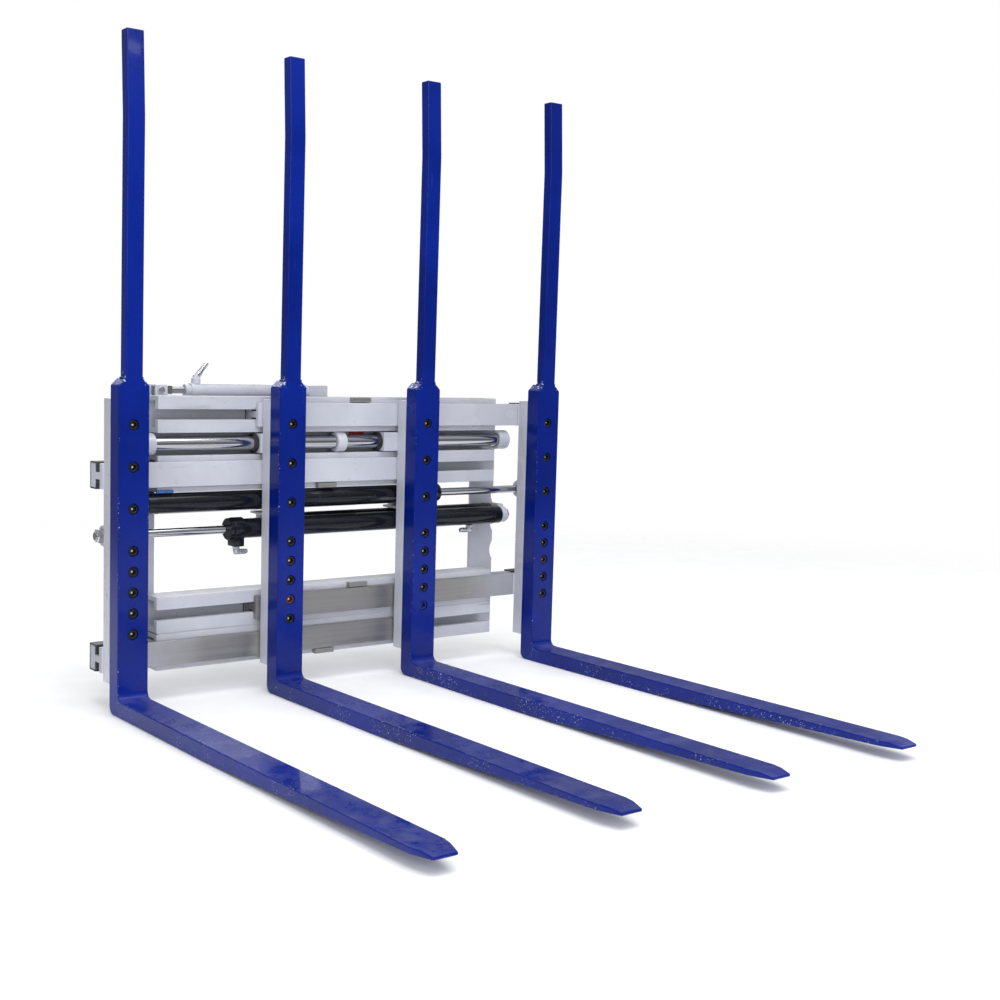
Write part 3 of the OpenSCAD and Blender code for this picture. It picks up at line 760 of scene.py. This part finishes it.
def seal_rubber(colours):
    """Black nitrile with fine bloom."""
    r = Recipe("wiper_rubber")
    bloom = r.clouds(90.0, 4.0, 0.6)
    tone = r.blend(r.between(bloom, 0.45, 0.75), (0.010, 0.010, 0.011), (0.045, 0.045, 0.050))
    return r.surface({
        "Base Color": tone,
        "Roughness": r.ranged(bloom, 0.40, 0.60),
        "Normal": r.bump(bloom, 0.15, 0.0004),
    })


def bearing_bronze(colours):
    """Turned bronze with a worn bore."""
    r = Recipe("bush_bronze")
    lines = r.clouds(700.0, 2.0, 0.5, r.stretched(1.0, 0.03, 0.03))
    tone = r.blend(r.between(lines, 0.3, 0.7), (0.48, 0.27, 0.10), (0.66, 0.40, 0.17))
    return r.surface({
        "Base Color": tone,
        "Metallic": 1.0,
        "Roughness": r.ranged(r.between(lines, 0.3, 0.7), 0.24, 0.36),
        "Normal": r.bump(lines, 0.10, 0.0003),
    })


def zinc_plate(colours):
    """Bright zinc plate with a faint warm tarnish."""
    r = Recipe("bright_zinc")
    tarnish = r.between(r.clouds(40.0, 4.0, 0.6), 0.42, 0.72)
    tone = r.blend(tarnish * 0.5, colours.zinc, (0.50, 0.47, 0.40))
    grain = r.clouds(500.0, 2.0, 0.5)
    return r.surface({
        "Base Color": tone,
        "Metallic": 0.92,
        "Roughness": r.ranged(tarnish, 0.20, 0.36),
        "Normal": r.bump(grain, 0.12, 0.0003),
    })


def plug_red(colours):
    """Soft red cap plastic."""
    return cap_plastic("cap_plastic_red", (0.62, 0.035, 0.030), (0.78, 0.09, 0.07))


def plug_blue(colours):
    """Soft blue cap plastic."""
    return cap_plastic("cap_plastic_blue", (0.02, 0.10, 0.42), (0.05, 0.19, 0.62))


def cap_plastic(name, dark, light):
    r = Recipe(name)
    cloud = r.clouds(60.0, 3.0, 0.5)
    tone = r.blend(r.between(cloud, 0.3, 0.7), dark, light)
    return r.surface({
        "Base Color": tone,
        "Roughness": r.ranged(cloud, 0.30, 0.45),
        "Normal": r.bump(cloud, 0.10, 0.0005),
    })


def floor_paper(colours):
    """Pale studio floor that fades out with distance."""
    r = Recipe("studio_floor")
    grain = r.clouds(7.0, 3.0, 0.5)
    tone = r.blend(r.between(grain, 0.3, 0.7), (0.86, 0.86, 0.87), (0.90, 0.90, 0.905))
    away = r.node("ShaderNodeVectorMath", {"operation": "LENGTH"}, {0: r.place}, "Value")
    clear = r.node("ShaderNodeBsdfTransparent", {}, {})
    paper = r.node("ShaderNodeBsdfPrincipled", {}, {"Base Color": tone, "Roughness": 0.75})
    mixed = r.node(
        "ShaderNodeMixShader", {}, {0: r.between(away, 1.9, 4.8), 1: paper, 2: clear})
    r.tree.links.new(mixed.socket, r.output.inputs["Surface"])
    return r.material


FINISH_MAKERS = {
    "fork_paint": fork_paint,
    "frame_paint": frame_paint,
    "steel": steel_finish,
    "chrome": chrome_finish,
    "cylinder_paint": cylinder_paint,
    "screws": screw_finish,
    "pads": pad_plastic,
    "rubber": seal_rubber,
    "bronze": bearing_bronze,
    "zinc": zinc_plate,
    "red_cap": plug_red,
    "blue_cap": plug_blue,
    "floor": floor_paper,
}


# ---------------------------------------------------------------- operators


class PieceOperator:
    """What every piece operator shares."""

    bl_options = {"REGISTER", "UNDO"}

    @property
    def shapes(self):
        return bpy.context.scene.handler_shapes

    @property
    def weld(self):
        """A weld bead's usual radius and pitch."""
        return self.shapes.weld_radius, self.shapes.weld_pitch


class HANDLER_OT_forks(PieceOperator, bpy.types.Operator):
    """Makes the four L-shaped forks with rounded long edges and clean screw recesses"""

    bl_idname = "handler.forks"
    bl_label = "Forks"

    def execute(self, context):
        recess_reach, below_recesses = 0.0145, 0.15
        for fork in FORKS:
            x = centre(f"{fork}_fork").x
            piece = copy_of(f"{fork}_fork", f"{fork}_painted_fork")

            def in_recess(point):
                return abs(point.x - x) < recess_reach and point.z > below_recesses

            rounded(piece, self.shapes.fork_edge, 3, lambda p: not in_recess(p), 26.0)
            rounded(piece, 0.0006, 2, lambda p: in_recess(p) and p.y < LOAD_FACE + 0.002, 40.0)
            finished(piece, 40.0, fork, BLUE, [f"{fork}_fork"])
        return {"FINISHED"}


class HANDLER_OT_bars(PieceOperator, bpy.types.Operator):
    """Makes the four kinked backrest bars and the welds at their feet"""

    bl_idname = "handler.bars"
    bl_label = "Backrest bars"

    def execute(self, context):
        bead_radius, bar_depth = 0.0034, 0.032
        for fork in FORKS:
            node = f"{fork}_bar"
            low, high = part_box(node)
            eased(
                node, f"{fork}_painted_bar", fork, BLUE, 0.0032, 3,
                lambda p: p.z > low.z + 0.001, 26.0)
            front, back = LOAD_FACE, LOAD_FACE + bar_depth
            corners = [
                Vector((high.x, front, low.z)), Vector((high.x, back, low.z)),
                Vector((low.x, back, low.z)), Vector((low.x, front, low.z))]
            beads = [
                weld_bead(f"{fork}_bead_{i}", start, end, bead_radius, self.shapes.weld_pitch)
                for i, (start, end) in enumerate(zip(corners, corners[1:]))]
            settled(joined(f"{fork}_bar_weld", beads), fork, BLUE)
        return {"FINISHED"}


class HANDLER_OT_screws(PieceOperator, bpy.types.Operator):
    """Makes one socket head screw and copies it into every recess"""

    bl_idname = "handler.screws"
    bl_label = "Fork screws"

    def execute(self, context):
        seat = at(0, 18, 0)
        master = turned(
            "screw_blank",
            [(-67, 6.6), (-65.5, 8), (0, 8), (0, 11.4), (0.6, 12), (14.2, 12), (15.4, 11.5),
             (16, 10.4)],
            seat, FORWARDS, 36)
        cut_out(master, turned("socket_cutter", [(8, 8), (17, 8), (18, 8.2)], seat, FORWARDS, 6))
        rounded(master, 0.0004, 1, lambda p: p.y < LOAD_FACE + 0.0021, 40.0)
        smoothed(master, 35.0)
        for fork in FORKS:
            x = centre(f"{fork}_fork").x
            copies = [
                copy_at(master, f"{fork}_screw_{i}", (x, 0, z / 1000))
                for i, z in enumerate(BOLT_HEIGHTS)]
            settled(joined(f"{fork}_socket_screws", copies), fork, BLACKENED, [f"{fork}_bolts"])
        bpy.data.objects.remove(master)
        return {"FINISHED"}


class HANDLER_OT_carriers(PieceOperator, bpy.types.Operator):
    """Makes the four carrier bars behind the forks with their lugs"""

    bl_idname = "handler.carriers"
    bl_label = "Carriers"

    def execute(self, context):
        for fork in FORKS:
            x = centre(f"{fork}_fork").x
            eased(
                f"{fork}_carrier", f"{fork}_painted_carrier", fork, WHITE,
                self.shapes.plate_edge, 2,
                lambda p: abs(abs(p.x - x) - CARRIER_HALF) < 0.002 or p.y > CARRIER_BACK)
        return {"FINISHED"}


class HANDLER_OT_beams(PieceOperator, bpy.types.Operator):
    """Makes the four T-beams, their slide pads and the welds to the carriers"""

    bl_idname = "handler.beams"
    bl_label = "Beams and pads"

    def execute(self, context):
        for fork in ("left_outer", "right_outer"):
            for level, coat in (("upper", WHITE), ("lower", STEEL)):
                node = f"{fork}_{level}_beam"
                eased(node, f"{fork}_{level}_finished_beam", fork, coat, self.shapes.plate_edge)
                beads = []
                for edge in (-1, 1):
                    x = SIDE[fork] * (OUTER_X + edge * CARRIER_HALF)
                    foot = Vector((x, CARRIER_BACK, centre(node).z))
                    beads.append(upright_bead(f"{node}_bead_{edge}", foot, 0.031, self.weld))
                settled(joined(f"{fork}_{level}_beam_weld", beads), fork, WHITE)
            pads = f"{fork}_slide_pads"
            eased(pads, f"{fork}_fitted_pads", fork, PLASTIC, 0.0008, 1)
        return {"FINISHED"}


class HANDLER_OT_rails(PieceOperator, bpy.types.Operator):
    """Makes the four T-slot rails, the web plate and their long welds"""

    bl_idname = "handler.rails"
    bl_label = "Rails"

    def execute(self, context):
        radius, pitch = self.weld
        for node in RAILS:
            eased(node, f"{node}_painted", "frame", WHITE, self.shapes.plate_edge)
        eased("upper_web_plate", "upper_web_painted", "frame", WHITE, 0.0005, 1)
        low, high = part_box("upper_web_plate")
        rail_low, rail_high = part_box("lower_rail")
        runs = [(y, z, radius * 0.9) for z in (low.z, high.z) for y in (low.y, high.y)]
        runs += [
            (y, rail_low.z - 0.001, radius * 0.8)
            for y in (rail_low.y + 0.004, rail_high.y - 0.001)]
        inset = 0.004
        seams = [
            weld_bead(
                "seam", Vector((low.x + inset, y, z)), Vector((high.x - inset, y, z)),
                size, pitch * 1.4)
            for y, z, size in runs]
        settled(joined("rail_welds", seams), "frame", WHITE)
        return {"FINISHED"}


class HANDLER_OT_keepers(PieceOperator, bpy.types.Operator):
    """Makes the four ground keeper blocks"""

    bl_idname = "handler.keepers"
    bl_label = "Keeper blocks"

    def execute(self, context):
        eased("keeper_blocks", "keeper_blocks_ground", "frame", STEEL, 0.0011)
        return {"FINISHED"}


class HANDLER_OT_rear_frame(PieceOperator, bpy.types.Operator):
    """Makes the scalloped side plates and the hooks for the truck's carriage"""

    bl_idname = "handler.rear_frame"
    bl_label = "Side plates and hooks"

    def execute(self, context):
        for node, width in (("side_plates", 0.0020), ("upper_hooks", 0.0025), ("lower_hooks", 0.0022)):
            eased(node, f"{node}_painted", "frame", WHITE, width)
        eased("hook_wear_pads", "hook_pads_fitted", "frame", PLASTIC, 0.0006, 1)
        hook_back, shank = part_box("lower_hooks")[1].y, 0.048
        z = centre("lower_hook_bolts").z
        screws = [
            turned(
                "hook_screw",
                [(0, 8), (48, 8), (48, 15), (49.5, 15.4), (50.5, 15.4), (50.5, 12.8), (56.6, 12.8),
                 (58, 11.6)],
                Vector((x / 1000, hook_back - shank, z)), BACKWARDS, 24)
            for x in HOOK_SCREW_X]
        finished(joined("hook_screws", screws), 35.0, "frame", ZINC, ["lower_hook_bolts"])
        low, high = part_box("side_plates")
        inner_edge = abs(high.x) - SIDE_PLATE_WIDTH
        beads = [
            upright_bead(
                "plate_bead", Vector((side * inner_edge, low.y, centre(node).z)), 0.030, self.weld)
            for side in (-1, 1) for node in RAILS]
        settled(joined("side_plate_welds", beads), "frame", WHITE)
        return {"FINISHED"}


class HANDLER_OT_guide_shaft(PieceOperator, bpy.types.Operator):
    """Makes the chrome guide shaft, its end bosses and the stop collar"""

    bl_idname = "handler.guide_shaft"
    bl_label = "Guide shaft"

    def execute(self, context):
        low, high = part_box("guide_shaft")
        mid = (low + high) / 2
        length = (high.x - low.x) * 1000
        shaft = turned(
            "guide_shaft_turned",
            [(0, 17.6), (1.4, 19), (25, 19), (25, 18.6), (25.8, 18.6), (25.8, 19),
             (length - 26, 19), (length - 26, 18.6), (length - 25.2, 18.6), (length - 25.2, 19),
             (length - 1.4, 19), (length, 17.6)],
            Vector((low.x, mid.y, mid.z)), RIGHTWARDS, 64)
        finished(shaft, 30.0, "frame", CHROME, ["guide_shaft"])
        eased("shaft_bosses", "shaft_bosses_painted", "frame", WHITE, 0.0024, 3)
        collar = turned(
            "stop_collar_turned",
            [(0, 19.05), (0, 24.4), (0.7, 26.2), (2.4, 27.6), (4.6, 28), (25.4, 28), (27.6, 27.6),
             (29.3, 26.2), (30, 24.4), (30, 19.05), (0, 19.05)],
            at(-15, FRONT_AXIS, SHAFT_Z), RIGHTWARDS, 56, hollow=True)
        finished(collar, 50.0, "frame", WHITE, ["stop_collar"])
        return {"FINISHED"}


class HANDLER_OT_housings(PieceOperator, bpy.types.Operator):
    """Makes the inner forks' bush housings, bushes and wiper rings"""

    bl_idname = "handler.housings"
    bl_label = "Inner housings"

    def execute(self, context):
        shaft, bore = at(0, FRONT_AXIS, SHAFT_Z), 0.0235

        def outside_bore(point):
            return (point.z - shaft.z) ** 2 + (point.y - shaft.y) ** 2 > bore ** 2

        for fork in ("left_inner", "right_inner"):
            eased(
                f"{fork}_housing", f"{fork}_painted_housing", fork, WHITE, 0.0015, 2, outside_bore)
            eased(f"{fork}_bushes", f"{fork}_turned_bushes", fork, BRONZE, 0.0005, 1)
            low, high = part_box(f"{fork}_wiper_rings")
            rings = [
                turned(
                    "wiper",
                    [(0, 19.6), (0, 20.6), (2.2, 22.2), (2.6, 24.0), (3.4, 24.8), (6.2, 24.8),
                     (6.2, 24.0), (7.4, 24.0), (7.4, 24.8), (12, 24.8), (12, 19.6), (5, 19.6),
                     (3, 19.9), (0, 19.6)],
                    Vector((base, shaft.y, shaft.z)), (way, 0, 0), 56, hollow=True)
                for base, way in ((low.x, 1), (high.x, -1))]
            ring = joined(f"{fork}_wipers_moulded", rings)
            finished(ring, 40.0, fork, RUBBER, [f"{fork}_wiper_rings"])
        return {"FINISHED"}


class HANDLER_OT_outer_cylinders(PieceOperator, bpy.types.Operator):
    """Makes the two long black cylinders with their glands, rods and nuts"""

    bl_idname = "handler.outer_cylinders"
    bl_label = "Outer cylinders"

    def execute(self, context):
        for node, side, z in (
            ("upper_outer_barrel", -1, UPPER_Z), ("lower_outer_barrel", 1, LOWER_Z)):
            barrel = turned(
                f"{node}_turned",
                [(0, 10), (14, 10), (34, 10), (34, 23.5), (35.2, 25), (37.5, 26),
                 (62, 26), (62.6, 26.9), (64.2, 27.2), (65.8, 26.9), (66.4, 26), (88, 26),
                 (909, 26), (910, 25.4), (910, 20), (66, 20)],
                at(side * BARREL_BASE_X, FRONT_AXIS, z), (-side, 0, 0), 64)
            finished(barrel, 40.0, "frame", BLACK, [node])
        finished(
            joined("outer_glands_machined", self.glands()), 40.0, "frame", BLACK, ["outer_glands"])
        for fork, side, z in (("right_outer", 1, UPPER_Z), ("left_outer", -1, LOWER_Z)):
            rod = turned(
                f"{fork}_chrome_rod",
                [(0, 10.4), (1.2, 11), (410, 11), (410, 10.2), (412, 10.2), (412, 11), (468.8, 11),
                 (470, 9.8)],
                at(side * OUTER_ROD_X, FRONT_AXIS, z), (side, 0, 0), 48)
            finished(rod, 40.0, fork, CHROME, [f"{fork}_rod"])
            nut = turned(
                "rod_nut",
                [(0, 16.0), (2, 17.9), (2.2, 18.5), (13.6, 18.5), (13.9, 17.9), (16, 15.4)],
                at(side * 690, FRONT_AXIS, z), (side, 0, 0), 6)
            washer = turned(
                "rod_washer",
                [(0, 11.1), (0, 18.4), (0.8, 19), (2.4, 19), (2.8, 18.6), (2.8, 11.1), (0, 11.1)],
                at(side * 687.4, FRONT_AXIS, z), (side, 0, 0), 40, hollow=True)
            finished(joined(f"{fork}_rod_nut", [nut, washer]), 30.0, fork, ZINC)
        return {"FINISHED"}

    def glands(self):
        """Both glands. The lower port block hangs, the upper one sits behind. They are
        a little slimmer than the frame's, which touch the plane of the carriers' backs."""
        parts = []
        for side, z, radius, low, high in (
            (1, LOWER_Z, 30.5, (-331, -19, -46), (-300, 19, -24)),
            (-1, UPPER_Z, 26.7, (300, 24, -15), (331, 54, 15))):
            parts.append(turned(
                "gland",
                [(0, 11.05), (0, radius - 2.8), (1.4, radius - 1.4), (9, radius - 1.4),
                 (9, radius - 3.2), (11.5, radius - 3.2), (11.5, radius - 0.8), (12.5, radius),
                 (42, radius), (43, radius - 0.8), (43, 11.05), (0, 11.05)],
                at(-side * GLAND_X, FRONT_AXIS, z), (side, 0, 0), 64, hollow=True))
            corners = [at(x, FRONT_AXIS + y, z + up) for x, y, up in (low, high)]
            parts.append(rounded(block("port_block", *corners), 0.0025, 2))
        return parts


class HANDLER_OT_inner_cylinders(PieceOperator, bpy.types.Operator):
    """Makes the two slim cylinders of the inner forks and their rods"""

    bl_idname = "handler.inner_cylinders"
    bl_label = "Inner cylinders"

    def execute(self, context):
        barrels = [
            turned(
                "slim_barrel",
                [(0, 7), (34, 7), (34, 14.6), (35.4, 16), (58, 16), (58.4, 16.6), (60.2, 16.6),
                 (60.6, 16), (676, 16), (676, 15.4), (678, 15.4), (678, 16), (699, 16), (700, 15),
                 (700, 7.05), (680, 7.05)],
                at(side * BARREL_BASE_X, REAR_AXIS, z), (-side, 0, 0), 48)
            for side, z in ((1, LEFT_INNER_Z), (-1, RIGHT_INNER_Z))]
        barrel = joined("inner_barrels_turned", barrels)
        finished(barrel, 40.0, "frame", BLACK, ["inner_barrels"])
        for fork, side, z in (
            ("right_inner", 1, RIGHT_INNER_Z), ("left_inner", -1, LEFT_INNER_Z)):
            rod = turned(
                f"{fork}_chrome_rod",
                [(0, 6.6), (0.8, 7), (209, 7), (209, 6.5), (210, 6.5), (210, 7), (211, 6.4)],
                at(side * INNER_ROD_X, REAR_AXIS, z), (side, 0, 0), 40)
            finished(rod, 40.0, fork, CHROME, [f"{fork}_rod"])
        return {"FINISHED"}


class HANDLER_OT_anchors(PieceOperator, bpy.types.Operator):
    """Makes the end plates that hold the cylinders and their nuts"""

    bl_idname = "handler.anchors"
    bl_label = "Cylinder anchors"

    def execute(self, context):
        eased("cylinder_anchors", "cylinder_anchors_painted", "frame", WHITE, 0.0016)
        nuts = []
        for side, y, z, stud in (
            (-1, FRONT_AXIS, UPPER_Z, 20), (-1, REAR_AXIS, RIGHT_INNER_Z, 14),
            (1, FRONT_AXIS, LOWER_Z, 20), (1, REAR_AXIS, LEFT_INNER_Z, 14)):
            corner = stud * 0.875
            nuts.append(turned(
                "anchor_nut",
                [(0, stud / 2), (0, corner - 1.6), (1.4, corner), (10.4, corner), (12, corner - 2.2),
                 (12, stud / 2 + 0.8), (11, stud / 2), (0, stud / 2)],
                at(side * ANCHOR_FACE_X, y, z), (side, 0, 0), 6, hollow=True))
        nut = joined("anchor_nuts_chamfered", nuts)
        finished(nut, 30.0, "frame", ZINC, ["anchor_nuts"])
        return {"FINISHED"}


def hose_union(name, base, direction):
    """A hexagon union with a collar, a threaded neck and an open port."""
    nut = turned(
        "union_hex", [(0, 9.4), (1.2, 10.9), (8.8, 10.9), (10, 9.2)], base, direction, 6)
    neck = turned(
        "union_neck",
        [(9, 7.4), (11, 7.4), (11.6, 8), (12.6, 7.3), (13.6, 8), (14.6, 7.3), (15.6, 8), (16.6, 7.3),
         (17.6, 8), (18.6, 7.3), (19.6, 8), (21, 7.6), (24, 7.0), (24, 4.6), (23, 4), (9.5, 4)],
        base, direction, 32)
    return joined(name, [nut, neck])


def hose_elbow(name, base, out):
    """A hexagon elbow that hangs below a port and opens to one side."""
    turn = base - Vector((0, 0, 0.015))
    nut = turned("elbow_hex", [(0, 9.6), (1, 10.9), (7, 10.9), (8, 9.4)], base, DOWNWARDS, 6)
    body = turned(
        "elbow_body", [(7, 8.1), (15, 8.5), (18.5, 7.9), (21, 6.2), (22.4, 3.8), (23, 1.4)],
        base, DOWNWARDS, 32)
    rings = [(0, 7.4), (8, 7.4)]
    for i in range(4):
        z = 9 + 4.4 * i
        rings += [(z, 7.0), (z + 0.7, 7.9), (z + 2.4, 7.9), (z + 3.2, 7.0)]
    rings += [(29, 7.0), (31.2, 6.6), (32, 5.8), (32, 4.5), (31.2, 4), (14, 4)]
    return joined(name, [nut, body, turned("elbow_arm", rings, turn, out, 32)])


class HANDLER_OT_fittings(PieceOperator, bpy.types.Operator):
    """Makes the hose unions on the cylinders' ports"""

    bl_idname = "handler.fittings"
    bl_label = "Hose unions"

    def execute(self, context):
        # The base elbow is turned back so that its hose clears the gland's port block
        turn = math.radians(6)
        unions = [
            hose_elbow("union_a", at(-315, FRONT_AXIS, LOWER_Z - 46), RIGHTWARDS),
            hose_union("union_b", at(331, FRONT_AXIS + 40, UPPER_Z), RIGHTWARDS),
            hose_elbow(
                "union_c", at(466, FRONT_AXIS, LOWER_Z - 26), (-math.cos(turn), math.sin(turn), 0)),
        ]
        finished(joined("hose_unions", unions), 35.0, "frame", ZINC, ["port_fittings"])
        return {"FINISHED"}


class HANDLER_OT_side_shift(PieceOperator, bpy.types.Operator):
    """Makes the side-shift cylinder on top, its clevis, pin, rod, nipple and lug"""

    bl_idname = "handler.side_shift"
    bl_label = "Side shift"

    def execute(self, context):
        eased("shift_bracket", "shift_bracket_painted", "frame", WHITE, 0.0016)
        eased("shift_rod", "shift_rod_finished", "frame", CHROME, 0.0012)
        pin = turned(
            "shift_pin_turned",
            [(0, 7.6), (0.8, 9), (3.4, 9), (4, 8.4), (4, 6), (50.5, 6), (50.5, 5.4), (51.6, 5.4),
             (51.6, 6), (53.4, 6), (54, 5.4)],
            at(-503, 175, SHIFT_Z), BACKWARDS, 40)
        finished(pin, 40.0, "frame", ZINC, ["shift_pin"])
        barrel = turned(
            "shift_barrel_turned",
            [(2, 10.05), (0, 10.05), (0, 14.8), (1.2, 16), (13, 16), (14, 15.2), (16, 15.2),
             (16, 18.2), (17, 19), (352, 19), (354, 20), (357, 20.4), (360, 20), (362, 19), (372, 19),
             (373, 18.2)],
            at(-428, SHIFT_AXIS, SHIFT_Z), RIGHTWARDS, 56)
        finished(barrel, 40.0, "shift_cylinder", WHITE, ["shift_barrel"])
        self.hose_end()
        eased("carriage_lug", "carriage_lug_painted", "shift_cylinder", WHITE, 0.0022)
        return {"FINISHED"}

    def hose_end(self):
        """The elbow on the barrel and the ribbed nipple that leans out of it."""
        base = at(-394, SHIFT_AXIS, SHIFT_Z + 19)
        lean = math.radians(40)
        tilt = Vector((math.sin(lean), 0, math.cos(lean)))
        elbow = base + Vector((0, 0, 0.015))
        boss = turned("port_boss", [(-2, 12), (10, 12), (13, 11.2), (15, 9.4)], base, UPWARDS, 40)
        ball = turned(
            "elbow", [(-8, 4), (-6.5, 6.8), (-3.5, 8.6), (0, 9.2), (3.5, 8.8), (6, 7.6)],
            elbow, tilt, 32)
        finished(joined("shift_port_elbow", [boss, ball]), 50.0, "shift_cylinder", WHITE)
        hexagon = turned(
            "nipple_hex", [(4, 8.0), (5.2, 9.1), (15, 9.1), (16.4, 7.8)], elbow, tilt, 6)
        rings = [(15.5, 6.4)]
        for i in range(7):
            z = 18 + 4.1 * i
            swell = 7.9 - 0.25 * i
            rings += [(z - 1.2, 5.9), (z - 0.6, swell), (z + 1.0, swell), (z + 1.8, 5.9)]
        rings += [(46.4, 6.2), (49, 5.8), (50, 5.0), (50, 3.6), (36, 3.6)]
        nipple = joined(
            "shift_hose_nipple", [hexagon, turned("nipple_tail", rings, elbow, tilt, 32)])
        finished(nipple, 50.0, "shift_cylinder", ZINC, ["shift_fitting"])


class HANDLER_OT_caps(PieceOperator, bpy.types.Operator):
    """Makes the red and the blue protective cap on spare ports"""

    bl_idname = "handler.caps"
    bl_label = "Port caps"

    def execute(self, context):
        for name, coat, place in (
            ("red_port_cap", RED_CAP, at(64, 162, 676)),
            ("blue_port_cap", BLUE_CAP, at(-552, 103.9, 536))):
            cap = turned(
                name,
                [(0, 3.0), (0.6, 3.9), (8, 3.9), (8.2, 4.1), (9.4, 4.1), (9.6, 3.9), (46, 3.5),
                 (47, 2.6)],
                place, RIGHTWARDS, 28)
            finished(cap, 40.0, "frame", coat)
        return {"FINISHED"}


class HANDLER_OT_stage(PieceOperator, bpy.types.Operator):
    """Makes the pale floor, the soft lights and the camera"""

    bl_idname = "handler.stage"
    bl_label = "Studio"

    def execute(self, context):
        scene = context.scene
        studio = scene.handler_studio
        bpy.ops.object.select_all(action="DESELECT")
        bpy.ops.mesh.primitive_circle_add(
            vertices=96, radius=studio.floor_radius, fill_type="NGON", location=(0, 0, -0.0005))
        floor = newest("studio_floor")
        floor.data.materials.append(finish("floor"))
        for name, place, aim, size, watts, glossy in LIGHTS:
            lamp = bpy.data.lights.new(name, "AREA")
            lamp.shape = "RECTANGLE"
            lamp.size, lamp.size_y = size
            lamp.energy = watts
            holder = bpy.data.objects.new(name, lamp)
            holder.visible_glossy = glossy
            scene.collection.objects.link(holder)
            holder.location = place
            holder.rotation_mode = "QUATERNION"
            holder.rotation_quaternion = (Vector(aim) - Vector(place)).to_track_quat("-Z", "Y")
        self.sky(scene)
        camera = bpy.data.cameras.new("front_left_camera")
        camera.lens = studio.lens
        camera.sensor_width = SENSOR_WIDTH
        camera.shift_x, camera.shift_y = CAMERA_SHIFT
        camera.clip_end = 60
        eye = bpy.data.objects.new("front_left_camera", camera)
        scene.collection.objects.link(eye)
        yaw, pitch, roll = studio.camera_yaw, studio.camera_pitch, studio.camera_roll
        ahead = Vector((
            math.sin(yaw) * math.cos(pitch), math.cos(yaw) * math.cos(pitch), -math.sin(pitch)))
        level = Vector((math.cos(yaw), -math.sin(yaw), 0))
        over = level.cross(ahead)
        right = level * math.cos(roll) + over * math.sin(roll)
        up = over * math.cos(roll) - level * math.sin(roll)
        turn = Matrix((right, up, -ahead)).transposed()
        eye.matrix_world = Matrix.Translation(Vector(studio.camera_place)) @ turn.to_4x4()
        scene.camera = eye
        scene.view_settings.view_transform = "Standard"
        return {"FINISHED"}

    def sky(self, scene):
        """White behind the object, and a graded soft room for light and gloss."""
        world = bpy.data.worlds.new("soft_room")
        scene.world = world
        world.use_nodes = True
        tree = world.node_tree
        tree.nodes.clear()
        output = tree.nodes.new("ShaderNodeOutputWorld")
        place = tree.nodes.new("ShaderNodeTexCoord")
        split = tree.nodes.new("ShaderNodeSeparateXYZ")
        ramp = tree.nodes.new("ShaderNodeValToRGB")
        while len(ramp.color_ramp.elements) < len(ROOM_LEVELS):
            ramp.color_ramp.elements.new(1.0)
        for stop, (position, level) in zip(ramp.color_ramp.elements, ROOM_LEVELS):
            stop.position = position
            stop.color = (*(level * channel for channel in ROOM_TINT), 1)
        half = tree.nodes.new("ShaderNodeMapRange")
        half.inputs["From Min"].default_value = -1
        room = tree.nodes.new("ShaderNodeBackground")
        plain = tree.nodes.new("ShaderNodeBackground")
        plain.inputs["Color"].default_value = (1, 1, 1, 1)
        path = tree.nodes.new("ShaderNodeLightPath")
        mix = tree.nodes.new("ShaderNodeMixShader")
        tree.links.new(place.outputs["Generated"], split.inputs[0])
        tree.links.new(split.outputs[2], half.inputs["Value"])
        tree.links.new(half.outputs[0], ramp.inputs[0])
        tree.links.new(ramp.outputs[0], room.inputs["Color"])
        tree.links.new(path.outputs["Is Camera Ray"], mix.inputs[0])
        tree.links.new(room.outputs[0], mix.inputs[1])
        tree.links.new(plain.outputs[0], mix.inputs[2])
        tree.links.new(mix.outputs[0], output.inputs["Surface"])


STEPS = (
    HANDLER_OT_forks,
    HANDLER_OT_bars,
    HANDLER_OT_screws,
    HANDLER_OT_carriers,
    HANDLER_OT_beams,
    HANDLER_OT_rails,
    HANDLER_OT_keepers,
    HANDLER_OT_rear_frame,
    HANDLER_OT_guide_shaft,
    HANDLER_OT_housings,
    HANDLER_OT_outer_cylinders,
    HANDLER_OT_inner_cylinders,
    HANDLER_OT_anchors,
    HANDLER_OT_fittings,
    HANDLER_OT_side_shift,
    HANDLER_OT_caps,
    HANDLER_OT_stage,
)


class HANDLER_PT_panel(bpy.types.Panel):
    """Lists the settings and the steps"""

    bl_idname = "HANDLER_PT_panel"
    bl_label = "Pallet handler"
    bl_space_type = "VIEW_3D"
    bl_region_type = "UI"
    bl_category = "Pallet handler"

    def draw(self, context):
        column = self.layout.column()
        for group in ("handler_finishes", "handler_shapes", "handler_studio"):
            settings = getattr(context.scene, group)
            for name in settings.__annotations__:
                column.prop(settings, name)
        for step in STEPS:
            column.operator(step.bl_idname)


SETTINGS = {
    "handler_finishes": HandlerFinishes,
    "handler_shapes": HandlerShapes,
    "handler_studio": HandlerStudio,
}


def register():
    for kind in (*SETTINGS.values(), *STEPS, HANDLER_PT_panel):
        bpy.utils.register_class(kind)
    for name, kind in SETTINGS.items():
        setattr(bpy.types.Scene, name, bpy.props.PointerProperty(type=kind))


def unregister():
    for name in SETTINGS:
        delattr(bpy.types.Scene, name)
    for kind in (HANDLER_PT_panel, *reversed(STEPS), *reversed(SETTINGS.values())):
        bpy.utils.unregister_class(kind)


def main():
    """Registers the classes and makes every group in order."""
    register()
    for step in STEPS:
        group, name = step.bl_idname.split(".")
        getattr(getattr(bpy.ops, group), name)()


if __name__ == "__main__":
    main()
